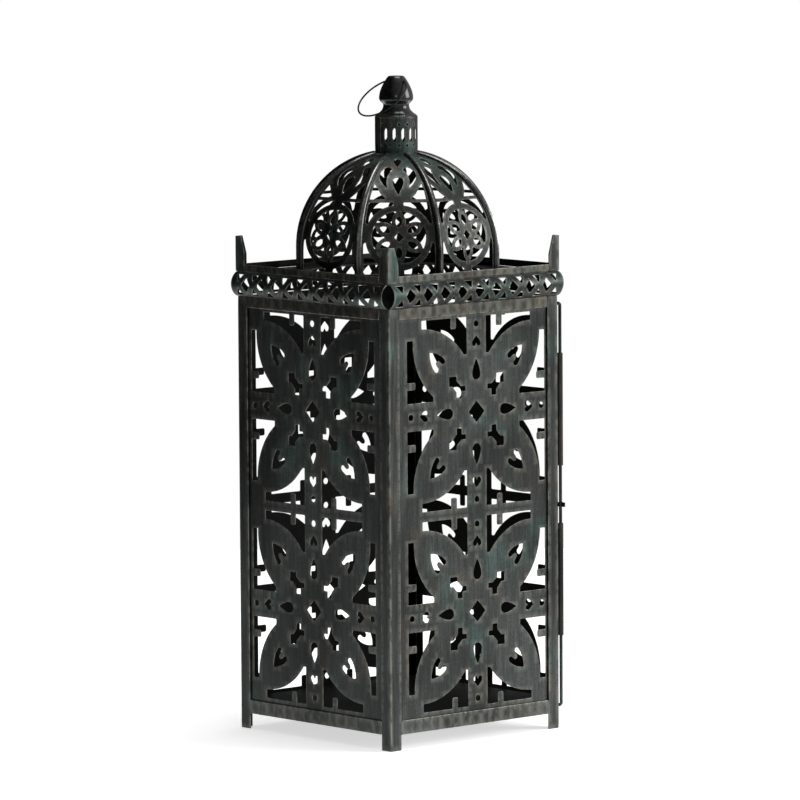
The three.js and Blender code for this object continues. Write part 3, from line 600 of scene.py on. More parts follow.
def revolved(
    name: str, profile: np.ndarray, count: int, centre: tuple[float, float] = (0.0, 0.0)
) -> bpy.types.Object:
    """Turns a closed profile about an upright line.

    Each point (radius, height) of the profile goes to (radius * cos a, radius * sin a,
    height) for evenly spaced angles a. Points at radius 0 close as one corner.

    Args:
        name: The new object's name.
        profile: Radii and heights, anticlockwise seen with the axis on the left.
        count: Steps round the axis.
        centre: Where the axis stands.

    Returns:
        The new object.
    """
    angles = np.linspace(0, 2 * math.pi, count, endpoint=False)
    points = np.stack(
        [
            profile[:, :1] * np.cos(angles) + centre[0],
            profile[:, :1] * np.sin(angles) + centre[1],
            np.repeat(profile[:, 1:], count, axis=1),
        ],
        -1,
    ).reshape(-1, 3)
    on_axis = profile[0, 0] < 1e-9
    faces = grid_faces(len(profile), count, True)
    if not on_axis:
        last = (len(profile) - 1) * count
        ring = np.arange(count)
        joint = np.column_stack([last + ring, last + (ring + 1) % count, (ring + 1) % count, ring])
        faces = np.vstack([faces, joint])
    obj = put(name, points, faces.tolist())
    if on_axis:
        work = bmesh.new()
        work.from_mesh(obj.data)
        bmesh.ops.remove_doubles(work, verts=work.verts, dist=1e-7)
        work.to_mesh(obj.data)
        work.free()
    return obj


def carried(
    name: str,
    path: np.ndarray,
    section: np.ndarray,
    across: np.ndarray,
    scale: np.ndarray | None = None,
    closed: bool = False,
    turn: float = 0.0,
) -> bpy.types.Object:
    """Carries a section along a flat path.

    At each station the section's first coordinate lies along `across` and its second along
    the path's normal, across x ahead, so the surface point is station + a * across + b * normal.

    Args:
        name: The new object's name.
        path: Stations in millimetres, one row each, all in one plane.
        section: The section's closed loop, clockwise seen along the path.
        across: Unit vector square to the path's plane.
        scale: Size of the section at each station, 1 where left out.
        closed: Whether the path closes on itself.
        turn: A turn about the upright axis, in degrees.

    Returns:
        The new object.
    """
    if closed:
        ahead = np.roll(path, -1, axis=0) - np.roll(path, 1, axis=0)
    else:
        ahead = np.gradient(path, axis=0)
    ahead /= np.linalg.norm(ahead, axis=1)[:, None]
    normal = np.cross(across, ahead)
    size = np.ones(len(path)) if scale is None else scale
    grown = section[None] * size[:, None, None]
    points = path[:, None] + grown[..., :1] * across + grown[..., 1:] * normal[:, None]
    count = len(section)
    faces = grid_faces(len(path), count, True)[:, ::-1]
    last = (len(path) - 1) * count
    ring = np.arange(count)
    if closed:
        joint = np.column_stack([ring, (ring + 1) % count, last + (ring + 1) % count, last + ring])
        faces = [*faces.tolist(), *joint.tolist()]
    else:
        faces = [*faces.tolist(), list(range(count)), list(range(last + count - 1, last - 1, -1))]
    return put(name, points.reshape(-1, 3), faces, turn)


def dressed(
    obj: bpy.types.Object, finish: bpy.types.Material, body: str, slot: str, *nodes: str
) -> bpy.types.Object:
    """Gives a piece its finish and its body, and hides the frame nodes that it stands for."""
    obj.data.materials.append(finish)
    if "edge" not in obj.data.attributes:
        mark(obj, "edge", np.zeros(len(obj.data.vertices)))
        mark(obj, "inner", np.zeros(len(obj.data.vertices)))
    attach(obj, body)
    if nodes:
        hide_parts(*nodes)
    LOG.info("%s: %d faces", obj.name, len(obj.data.polygons))
    return obj


# ------------------------------------------------------------------ posts, rails, floor
@dataclass
class BodyFrame:
    """The four folded posts, the rails between them, the floor and the roof plate."""

    finishes: Finishes
    fold: float = 0.9
    roof_hole: float = 80.0

    def angle_columns(self) -> np.ndarray:
        """Returns bend places across a folded strip, close together round the fold."""
        fine = np.linspace(-self.fold, self.fold, 9)
        return np.unique(np.concatenate([np.arange(-11.0, -2.0, 3.0), fine, np.arange(2.4, 11.5, 3.0)]))

    def leg_length(self) -> float:
        """Returns a leg's length along the folded sheet from the corner's middle."""
        return SIZES.leg - self.fold + self.fold * math.pi / 4

    def posts(self) -> None:
        """Builds the four corner posts."""
        leg = self.leg_length()
        outline = soften(box_loop(-leg, leg, 0.0, SIZES.post_top), 1.6, 0.5)
        rows = np.arange(6.0, SIZES.post_top, 9.0)
        # 0.7: the fold line painted pale, partly wear and partly a painted highlight.
        sheet = Sheet(outline, [], SIZES.iron, self.angle_columns(), rows, 0.3, 0.7)
        for k, corner in enumerate(CORNERS):
            node = f"corner_post_{corner}"
            post = sheet.formed(f"{node}_folded", folded(SIZES.half, self.fold), 90 * k)
            dressed(post, self.finishes.iron, "frame", "iron", node)

    def rails(self) -> None:
        """Builds the bottom, upper and top rails as plain strips with rounded edges, painted pale partly as wear and
        partly as a painted highlight.
        """
        kinds = {"bottom_rail": "iron", "upper_rail": "rail", "top_rail": "rail"}
        for kind, finish in kinds.items():
            node = f"{kind}_front"
            outline = soften(box_loop(low(node)[0], high(node)[0], low(node)[2], high(node)[2]), 1.6, 0.35)
            middle = np.array([(low(node)[2] + high(node)[2]) / 2])
            sheet = Sheet(outline, [], SIZES.iron, np.arange(-84.0, 85.0, 12.0), middle, 0.4)
            for side in Side:
                face = SIZES.top_half if kind == "top_rail" else SIZES.half
                rail = sheet.formed(f"{kind}_{side.word}_strip", standing(face), side.turn)
                slot = "bronzed" if kind == "top_rail" else "iron"
                dressed(rail, getattr(self.finishes, finish), "frame", slot, f"{kind}_{side.word}")

    def plates(self) -> None:
        """Builds the floor plate and the roof plate with its round opening."""
        round_hole = arc(0, 0, self.roof_hole, 0, 2 * math.pi, 1.2)[:-1]
        for node, holes in (("floor_plate", []), ("roof_plate", [round_hole])):
            first, last = low(node), high(node)
            outline = soften(box_loop(first[0], last[0], first[1], last[1]), 2.5, 0.8)
            spots = np.arange(-92.0, 93.0, 11.5)
            sheet = Sheet(outline, holes, last[2] - first[2], spots, spots)
            plate = sheet.formed(f"{node}_sheet", lying(last[2]))
            # The plates' inside faces carry the painted shade of their finish.
            dressed(plate, self.finishes.plate, "frame", "soot", node)

    def build(self) -> None:
        """Builds the whole of the body's frame."""
        self.posts()
        self.rails()
        self.plates()


# ------------------------------------------------------------------ pierced panels and door
@dataclass
class PiercedPanels:
    """The four pierced faces: three fixed panels and the door's leaf."""

    finishes: Finishes
    pitch: float = 179.3
    bar: float = 11.6
    cross_bar: float = 12.4
    middle_bar: float = 9.0
    window: float = 83.0
    thickness: float = 0.8
    lift: float = 0.7
    petal_arc: float = 62.5
    tab_width: float = 6.6
    tab_length: float = 9.8
    tab_place: float = 27.6
    front_shift: float = 4.3
    left_shift: float = -2.6

    def tab(self, edge: float) -> np.ndarray:
        """Returns a round-cornered tab's outline hanging from v = edge, right to left."""
        half, end = self.tab_width / 2, edge - self.tab_length
        right, left = self.tab_place + half, self.tab_place - half
        corner = 1.3
        lower_right = arc(right - corner, end + corner, corner, 0, -math.pi / 2, 0.5)
        lower_left = arc(left + corner, end + corner, corner, -math.pi / 2, -math.pi, 0.5)
        return np.vstack([[[right, edge]], lower_right, lower_left, [[left, edge]]])

    def quarter(self, outer: float) -> list[np.ndarray]:
        """Returns the openings of a quatrefoil's first quarter.

        The two background openings are bounded by a bar, the window's edge with its tab, and
        the petal's side, which is a circular arc. The heart and the forked opening lie on the
        diagonal.
        """
        start = math.pi - math.acos(50.5 / self.petal_arc)
        petal = arc(65.5, 15.0, self.petal_arc, start, math.pi / 2)
        above = np.vstack(
            [[[self.bar, petal[0, 1]]], petal, [[petal[-1, 0], outer]], self.tab(outer), [[self.bar, outer]]]
        )
        radius = self.petal_arc - 1.5
        side = arc(15.0, 65.5, radius, -math.acos(36.8 / radius), math.asin(2.5 / radius))
        side_tab = self.tab(self.window)[:, ::-1]
        beside = np.vstack(
            [
                [[side[0, 0], self.cross_bar]],
                side,
                [[self.window, side[-1, 1]]],
                side_tab,
                [[self.window, self.cross_bar]],
            ]
        )
        return [above, beside, self.heart(), self.fork()]

    def heart(self) -> np.ndarray:
        """Returns the heart near a petal's tip, with a round tongue between its lobes."""
        flank = np.array([[79.2, 0.0], [75.6, 3.1], [71.0, 5.7], [66.5, 7.3], [63.0, 7.8]])
        lobe = arc(62.1, 5.2, 2.6, math.radians(75), math.radians(285), 0.5)
        cheek = np.array([[64.0, 2.5]])
        tongue = arc(64.9, 0.0, 2.2, math.radians(80), 0, 0.5)
        half = np.vstack([flank, lobe, cheek, tongue])
        return turned(np.vstack([half, (half * [1, -1])[::-1][1:-1]]), math.pi / 4)

    def fork(self) -> np.ndarray:
        """Returns the square opening whose neck forks into two arms towards the centre."""
        near, far, low_arm, high_arm, tip = 24.1, 32.8, 19.3, 23.9, 13.3
        crotch, shoulder, neck = low_arm - 1.2, 18.6, 29.0
        square = [[neck, near], [far, near], [far, far], [near, far], [near, neck]]
        left_arm = [[shoulder, high_arm], [tip, high_arm], [tip, low_arm], [crotch, low_arm]]
        right_arm = [[crotch, tip], [high_arm, tip], [high_arm, shoulder]]
        loop = square + left_arm + right_arm
        return np.array(loop[1:] + loop[:1], float)

    def openings(self) -> list[np.ndarray]:
        """Returns every opening of a panel, both quatrefoils and their bars' small holes."""
        outer = self.pitch / 2 - self.middle_bar / 2
        drop = teardrop(47.6, 28.4, 4.9)
        lobe = arc(61.0, 2.6, 2.5, 1.2, 3.7, 0.5)
        small_heart = np.vstack([[[68.2, 0.0]], [[63.4, 4.5]], lobe, [[61.4, 0.2]]])
        small_heart = np.vstack([small_heart, (small_heart * [1, -1])[::-1][:-1]])
        dot = arc(78.6, 0.0, 2.9, 0, 2 * math.pi, 0.6)[:-1]
        shapes = [turned(box_loop(-6.9, 6.9, -6.9, 6.9), math.pi / 4)]
        for k in range(4):
            shapes += [turned(shape, k * math.pi / 2) for shape in (drop, small_heart, dot)]
        for quarter in self.quarter(outer):
            shapes += [quarter * flip for flip in ([1, 1], [-1, 1], [-1, -1], [1, -1])]
        return [soften(shape) for shape in shapes]

    def build(self) -> None:
        """Builds the fixed panels and the door's leaf."""
        first, last = low("pierced_panel_front"), high("pierced_panel_front")
        middle = (high("bottom_rail_front")[2] + low("upper_rail_front")[2]) / 2 + self.lift
        shifts = {Side.FRONT: self.front_shift, Side.LEFT: self.left_shift}
        openings = self.openings()
        rows = np.arange(first[2] + 5, last[2] - 3, 6.0)
        for side in Side:
            node = f"pierced_panel_{side.word}"
            across = shifts.get(side, 0.0)
            centres = [[across, middle + place * self.pitch / 2] for place in (-1, 1)]
            holes = [shape + centre for centre in centres for shape in openings]
            is_door = side is Side.DOOR
            ends = (low("door_panel")[1], high("door_panel")[1]) if is_door else (first[0], last[0])
            levels = (low("door_panel")[2], high("door_panel")[2]) if is_door else (first[2], last[2])
            outline = soften(box_loop(*ends, *levels), 1.8, 0.6)
            face = high("door_panel")[0] if is_door else SIZES.panel_face
            sheet = Sheet(outline, holes, self.thickness, np.arange(-96.0, 97.0, 6.0), rows)
            name = "door_leaf" if is_door else f"{node}_cut"
            leaf = sheet.formed(name, standing(face), side.turn)
            replaced = "door_panel" if is_door else node
            dressed(leaf, self.finishes.panel, "door" if is_door else "frame", "verdigris", replaced)


# ------------------------------------------------------------------ eaves and finials
@dataclass
class Eaves:
    """The curved pierced bands under the roof and the corner finials over them."""

    finishes: Finishes
    count: int = 9
    pitch: float = 20.5
    fold: float = 0.9
    straight: float = 15.2
    top_leg: float = 7.8

    def bands(self) -> None:
        """Builds the four bands, each a strip of circular arc in section.

        A point at height v along the strip stands at the angle v / radius from the middle.
        """
        height = SIZES.eave_top - SIZES.eave_foot
        bulge = SIZES.eave_face - SIZES.top_half
        radius = ((height / 2) ** 2 + bulge**2) / (2 * bulge)
        limit = math.asin(height / 2 / radius)
        edge = radius * limit
        diamond = np.array([[-5.6, 0], [0, -6.9], [5.6, 0], [0, 6.9]], float)
        triangle = np.array([[0, 2.9], [4.6, 10.6], [-4.6, 10.6]], float)
        middle = (self.count - 1) / 2
        holes = [diamond + [(k - middle) * self.pitch, 0] for k in range(self.count)]
        for k in range(self.count + 1):
            for flip in (1, -1):
                holes.append(triangle * [1, flip] + [(k - self.count / 2) * self.pitch, 0])
        half = high("eave_band_front")[0]
        sheet = Sheet(
            soften(box_loop(-half, half, -edge, edge), 1.1, 0.3),
            [soften(hole, 0.7, 0.35) for hole in holes],
            0.8,
            np.arange(-99.0, 100.0, 3.3),
            np.linspace(-edge, edge, 19)[1:-1],
            0.22,
        )

        def place(u: np.ndarray, v: np.ndarray, w: np.ndarray) -> np.ndarray:
            """Bends the strip."""
            angle = v / radius
            out = SIZES.top_half + (radius + w) * np.cos(angle) - radius * math.cos(limit)
            z = (SIZES.eave_foot + SIZES.eave_top) / 2 + (radius + w) * np.sin(angle)
            return np.column_stack([u, -out, z])

        for side in Side:
            band = sheet.formed(f"eave_band_{side.word}_rolled", place, side.turn)
            dressed(band, self.finishes.band, "frame", "verdigris", f"eave_band_{side.word}")

    def finials(self) -> None:
        """Builds the four folded corner finials with tapering legs."""
        node = "corner_finial_front_left"
        height = high(node)[2] - low(node)[2]
        shrink = self.fold - self.fold * math.pi / 4
        leg, tip = SIZES.leg - shrink, self.top_leg - shrink
        half = np.array([[leg, 0.0], [leg, self.straight], [tip, height]])
        outline = soften(np.vstack([half, (half * [-1, 1])[::-1]]), 0.9, 0.4)
        columns = np.unique(np.concatenate([[-9.0, -5.5], np.linspace(-self.fold, self.fold, 9), [5.5, 9.0]]))
        # 0.8: the fold line painted pale, partly wear and partly a painted highlight.
        sheet = Sheet(outline, [], SIZES.iron, columns, np.arange(3.0, height, 3.5), 0.3, 0.8)
        for k, corner in enumerate(CORNERS):
            place = folded(SIZES.top_half, self.fold, SIZES.top_frame)
            finial = sheet.formed(f"corner_finial_{corner}_folded", place, 90 * k)
            dressed(finial, self.finishes.band, "frame", "verdigris", f"corner_finial_{corner}")

    def build(self) -> None:
        """Builds the bands and the finials."""
        self.bands()
        self.finials()


# ------------------------------------------------------------------ dome
@dataclass
class Dome:
    """The eight pierced gores and the half-round ribs over their joints."""

    finishes: Finishes
    sides: int = 8
    radius: float = 88.0
    spring: float = 435.0
    turn: float = 4.3
    border: float = 4.6
    medallion: float = 17.25
    ring_outer: float = 30.0
    ring_inner: float = 24.0
    strap_low: float = 50.0
    strap_high: float = 53.2
    thickness: float = 0.8

    @property
    def foot(self) -> float:
        """Returns the gore's foot, along the meridian from the spring line."""
        return SIZES.top_frame - self.spring

    @property
    def top(self) -> float:
        """Returns the gore's top, along the meridian from the spring line."""
        return self.radius * math.asin((SIZES.collar_foot - 0.3 - self.spring) / self.radius)

    def half_width(self, s: np.ndarray | float) -> np.ndarray:
        """Returns half the gore's width at a place on the meridian, up to the mitre."""
        return self.radius * np.cos(np.maximum(s, 0) / self.radius) * math.tan(math.pi / self.sides)

    def place(self, u: np.ndarray, s: np.ndarray, w: np.ndarray) -> np.ndarray:
        """Bends a flat gore: straight below the spring line, a circle above it."""
        angle = np.maximum(s, 0) / self.radius
        out = (self.radius + w) * np.cos(angle)
        z = self.spring + np.minimum(s, 0) + (self.radius + w) * np.sin(angle)
        return np.column_stack([u, -out, z])

    def flower(self) -> list[np.ndarray]:
        """Returns the medallion's openings: between petals, in the petals, and the eye."""
        leaf = almond(2.2, 24.8, 6.3)
        side = leaf[: len(leaf) // 2 + 1]
        bearing = np.arctan2(side[:, 1], side[:, 0])
        reach = np.hypot(*side.T)
        beyond_widest = np.arange(len(side)) > bearing.argmax()
        flank = side[beyond_widest & (bearing < math.radians(29)) & (reach < self.ring_inner)]
        start = math.atan2(flank[-1, 1], flank[-1, 0])
        rim = arc(0, 0, self.ring_inner, start, math.pi / 3 - start)
        corner = turned(np.array([[np.hypot(*flank[0]) - 0.2, 0.0]]), math.pi / 6)
        other = turned(flank * [1, -1], math.pi / 3)[::-1]
        gap = np.vstack([corner, flank, rim[1:-1], other])
        eye = np.array([[4.2, 0], [0, 4.3], [-4.2, 0], [0, -4.3]], float)
        petal = almond(8.9, 19.4, 2.8)
        shapes = [turned(shape, math.pi / 2 + k * math.pi / 3) for k in range(6) for shape in (gap, petal)]
        return [soften(shape, 0.6, 0.35) + [0, self.medallion] for shape in [*shapes, eye]]

    def spandrels(self) -> list[np.ndarray]:
        """Returns the openings between the medallion, the strap and the border."""

        def edge(levels: np.ndarray) -> np.ndarray:
            """Returns border points at the levels given."""
            return np.column_stack([self.half_width(levels) - self.border, levels])

        top_angle = math.acos(4.6 / self.ring_outer)
        high_tip, low_tip = 29.0, 13.0
        high_angle = math.asin((high_tip - self.medallion) / self.ring_outer)
        low_angle = math.asin((low_tip - self.medallion) / self.ring_outer)
        upper_arc = arc(0, self.medallion, self.ring_outer, high_angle, top_angle)
        upper_edge = edge(np.linspace(self.strap_low, high_tip + 1.5, 8))
        upper = np.vstack([upper_arc, [[4.6, self.strap_low]], upper_edge])
        lower_arc = arc(0, self.medallion, self.ring_outer, -top_angle, low_angle)
        foot = self.foot + 4.2
        lower = np.vstack([lower_arc, edge(np.linspace(low_tip - 1.5, foot, 8)), [[4.6, foot]]])
        return [soften(shape, 0.8, 0.5) for half in (upper, lower) for shape in (half, mirrored(half))]

    def tulip(self) -> list[np.ndarray]:
        """Returns the openings that draw the tulip above the strap."""
        drop = teardrop(57.6, 78.2, 4.7)[:, ::-1]
        kite_side = np.array([[2.1, 98], [3.5, 103], [2.4, 106.6]])
        kite = np.vstack([[[0, 93.0]], kite_side, [[0, 108.8]], (kite_side * [-1, 1])[::-1]])
        outer = [[9.9, 65.0], [13.2, 69.5], [15.7, 75], [16.4, 80], [14.9, 86], [11.4, 91.2], [8.6, 93.4]]
        inner = [[5.6, 91], [4.9, 88.4], [7.4, 84.5], [9.5, 79.5], [10.4, 74], [10.3, 69]]
        crescent = np.array(outer + inner)
        levels = np.array([self.strap_high, 58.0, 63.0, 70.6])
        border = np.column_stack([self.half_width(levels) - self.border, levels])
        flank = np.array([[18.6, 66.0], [15.6, 59.0], [12.6, 55.4], [11.2, self.strap_high]])
        corner = np.vstack([border, flank])
        shapes = (drop, kite, crescent, mirrored(crescent), corner, mirrored(corner))
        return [soften(shape, 0.6, 0.5) for shape in shapes]

    def gores(self) -> None:
        """Builds the eight gores."""
        levels = np.linspace(self.foot, self.top, 60)
        side = np.column_stack([self.half_width(levels) - 0.62, levels])
        outline = soften(np.vstack([side, mirrored(side)[::-1]]), 1.0, 0.3)
        holes = [*self.flower(), *self.spandrels(), *self.tulip()]
        rows = np.arange(self.foot + 2, self.top - 1, 2.6)
        sheet = Sheet(outline, holes, self.thickness, np.arange(-34.0, 35.0, 3.4), rows, 0.22)
        for k in range(self.sides):
            turn = k * 360 / self.sides + self.turn
            gore = sheet.formed(f"dome_gore_{k + 1}_formed", self.place, turn)
            dressed(gore, self.finishes.dome, "frame", "verdigris", f"dome_gore_{k + 1}")

    def ribs(self) -> None:
        """Builds the eight tapering half-round ribs.

        A rib's surface point at the angle a across its section stands width / 2 * cos a to the
        side and rise * sin a above the mitre line, on an upright ellipse.
        """
        stations = np.concatenate([np.linspace(self.foot, 0, 6)[:-1], np.linspace(0, self.top - 0.6, 48)])
        across = np.linspace(0, math.pi, 15)
        base_width, top_width, rise = 6.8, 4.8, 2.9
        share = np.clip(stations / self.top, 0, 1)
        width = base_width + (top_width - base_width) * share
        tan = math.tan(math.pi / self.sides)
        angle = np.maximum(stations, 0) / self.radius
        crown_side = np.concatenate([np.cos(across), [-1.0, 0.0, 1.0]])
        crown_lift = np.concatenate([0.5 + (rise - 0.5) * np.sin(across), [0.2, 0.2, 0.2]])
        side = crown_side[None] * width[:, None] / 2
        sag = np.abs(side) * tan
        lift = crown_lift[None] * np.where(np.arange(len(crown_side)) < len(across), 1.0 - 0.22 * share[:, None], 1.0)
        out = self.radius * np.cos(angle)[:, None] / math.cos(math.pi / self.sides)
        radial = out - sag + lift * np.cos(angle)[:, None]
        z = self.spring + np.minimum(stations, 0)[:, None] + (self.radius + lift) * np.sin(angle)[:, None]
        points = np.stack([side, -radial, z], -1).reshape(-1, 3)
        count = len(crown_side)
        last = (len(stations) - 1) * count
        faces = grid_faces(len(stations), count, True).tolist()
        faces += [list(range(count))[::-1], list(range(last, last + count))]
        for k in range(self.sides):
            turn = (k + 0.5) * 360 / self.sides + self.turn
            rib = put(f"dome_rib_{k + 1}_round", points, faces, turn)
            # Pale crest: partly wear, partly a painted highlight along the top of the rib.
            mark(rib, "edge", np.tile(np.concatenate([0.55 * np.sin(across) ** 6, [0, 0, 0]]), len(stations)))
            # Painted shade under the rib: its flat foot on the gore is marked inner and painted near black.
            mark(rib, "inner", np.tile(np.concatenate([np.zeros(len(across)), np.ones(3)]), len(stations)))
            rib.data.set_sharp_from_angle(angle=math.radians(50))
            dressed(rib, self.finishes.rib, "frame", "polished", f"dome_rib_{k + 1}")

    def build(self) -> None:
        """Builds the gores and the ribs."""
        self.gores()
        self.ribs()


# ------------------------------------------------------------------ collar, knob and ring
@dataclass
class Crown:
    """The slotted collar, the turned knob and its hanging ring."""

    finishes: Finishes
    collar_radius: float = 19.25
    slots: int = 13
    slot_pitch: float = 24.0
    first_slot: float = 21.0
    seam_turn: float = 268.0
    ring_radius: float = 24.5
    wire: float = 1.6
    rest: float = 50.0
    chord_half: float = 11.0
    axis_drop: float = 4.55
    thickness: float = 0.8

    def collar(self) -> None:
        """Builds the collar: a pierced strip rolled into a tube, and the lap over its seam."""
        radius = self.collar_radius
        around = 2 * math.pi * radius
        height = SIZES.collar_top - SIZES.collar_foot
        pitch = radius * math.radians(self.slot_pitch)
        first = radius * math.radians(self.first_slot) - around / 2
        slot = np.array([[1.6, -4.0], [1.6, 4.0], [0, 6.6], [-1.6, 4.0], [-1.6, -4.0], [0, -6.6]])
        slot_level, dot_radius = height / 2 + 0.4, 1.05
        holes = [soften(slot, 0.6, 0.25) + [first + k * pitch, slot_level] for k in range(self.slots)]
        for k in range(self.slots + 1):
            for v in (slot_level - 9.2, slot_level + 9.6):
                holes.append(arc(first + (k - 0.5) * pitch, v, dot_radius, 0, 2 * math.pi, 0.45)[:-1])
        rows = np.arange(2.0, height, 3.2)
        columns = np.linspace(-around / 2, around / 2, 91)[1:-1]
        strip_end = around / 2 - 0.15
        outline = soften(box_loop(-strip_end, strip_end, 0, height), 0.9, 0.2)
        sheet = Sheet(outline, holes, self.thickness, columns, rows, 0.2)

        def place(u: np.ndarray, v: np.ndarray, w: np.ndarray) -> np.ndarray:
            """Rolls the strip into a tube, slightly drawn in at its foot."""
            angle = u / radius
            drawn = 0.45 * np.exp(-v / 2.2)
            out = radius + w - drawn
            return np.column_stack([-out * np.sin(angle), out * np.cos(angle), SIZES.collar_foot + v])

        collar = sheet.formed("collar_rolled", place, self.seam_turn)
        dressed(collar, self.finishes.dome, "frame", "verdigris", "collar")

        def lapped(u: np.ndarray, v: np.ndarray, w: np.ndarray) -> np.ndarray:
            """Rolls the narrow lap over the tube's seam."""
            return place(u + around / 2, v, w + 0.6)

        lap_outline = soften(box_loop(-1.9, 1.9, 0.4, height - 0.4), 0.8, 0.3)
        lap = Sheet(lap_outline, [], 0.55, np.array([-1.2, 0, 1.2]), rows, 0.2)
        strip = lap.formed("collar_seam_lap", lapped, self.seam_turn)
        dressed(strip, self.finishes.dome, "frame", "verdigris")

    def knob_profile(self) -> np.ndarray:
        """Returns the knob's outside as radius and depth below the top, then its inside.

        The outside runs smoothly through the turned shape's main diameters, by a cubic curve
        through each four neighbours.
        """
        outside = np.array(
            [[0, 0], [4.5, 0.05], [6.9, 0.35], [9.4, 3.4], [12.2, 8.3], [14.5, 14], [15.4, 19.6],
             [14.4, 22.4], [11.9, 25],
             [11.8, 27.7], [12.9, 30.4], [13.6, 31.2], [15.6, 33.2], [18.2, 35.0], [18.65, 35.7]]
        )
        ends = np.vstack([2 * outside[0] - outside[1], outside, 2 * outside[-1] - outside[-2]])
        t = np.linspace(0, 1, 7)[:-1, None]
        pieces = []
        for a, b, c, d in zip(ends, ends[1:], ends[2:], ends[3:]):
            square, cube = 2 * a - 5 * b + 4 * c - d, 3 * b - a - 3 * c + d
            pieces.append(0.5 * (2 * b + (c - a) * t + square * t**2 + cube * t**3))
        curve = np.vstack([*pieces, outside[-1:]])
        curve[:, 0] = np.maximum(curve[:, 0], 0)
        lower_wall = [[15.6, 35.7], [10.4, 29.5], [10.4, 24.4], [13.6, 20.6], [14.0, 18]]
        upper_wall = [[13.0, 14], [10.6, 8.6], [8.0, 4.6], [5.6, 1.3], [0, 1.2]]
        inside_wall = np.array(lower_wall + upper_wall)
        return np.vstack([curve, inside_wall])

    def knob(self) -> None:
        """Builds the knob and drills the ring's hole through it."""
        profile = self.knob_profile()
        shape = np.column_stack([profile[:, 0], SIZES.top - profile[:, 1]])[::-1]
        knob = revolved("knob_turned", shape, 72)
        drill_path = np.array([[0.0, y, SIZES.top - self.axis_drop] for y in np.linspace(-22, 22, 5)])
        angles = np.linspace(0, 2 * math.pi, 20, endpoint=False)
        section = 1.4 * np.column_stack([np.cos(angles), -np.sin(angles)])
        drill = carried("drill", drill_path, section, np.array([1.0, 0, 0]))
        cut = knob.modifiers.new("hole", "BOOLEAN")
        cut.object = drill
        cut.solver = "EXACT"
        depsgraph = bpy.context.evaluated_depsgraph_get()
        mesh = bpy.data.meshes.new_from_object(knob.evaluated_get(depsgraph))
        knob.modifiers.clear()
        knob.data = mesh
        bpy.data.objects.remove(drill)
        mesh.polygons.foreach_set("use_smooth", np.ones(len(mesh.polygons), bool))
        mesh.set_sharp_from_angle(angle=math.radians(42))
        mesh.materials.clear()
        dressed(knob, self.finishes.knob, "frame", "polished", "knob")

    def ring(self) -> None:
        """Builds the wire ring, straight where it passes through the knob.

        Its line is a circle whose stretch nearer the hinge line than the chord is pulled
        straight: radius becomes the smaller of the circle's and chord / cos(angle).
        """
        reach = math.sqrt(self.ring_radius**2 - self.chord_half**2)
        angle = np.linspace(0, 2 * math.pi, 160, endpoint=False)
        cos = np.cos(angle)
        straight = np.minimum(self.ring_radius, reach / np.maximum(cos, 0.2))
        line = np.where(cos > 0.2, straight, self.ring_radius)
        line = (line + np.roll(line, 1) + np.roll(line, -1)) / 3
        across, down = line * np.sin(angle), reach - line * cos
        tilt = math.radians(self.rest)
        level = SIZES.top - self.axis_drop - down * math.cos(tilt)
        path = np.column_stack([-down * math.sin(tilt), across, level])
        around = np.linspace(0, 2 * math.pi, 14, endpoint=False)
        section = self.wire / 2 * np.column_stack([np.cos(around), -np.sin(around)])
        square = np.array([math.cos(tilt), 0.0, -math.sin(tilt)])
        ring = carried("hanging_ring_wire", path, section, square, closed=True)
        dressed(ring, self.finishes.wire, "hanging_ring", "iron", "hanging_ring")

    def build(self) -> None:
        """Builds the collar, the knob and the ring."""
        self.collar()
        self.knob()
        self.ring()


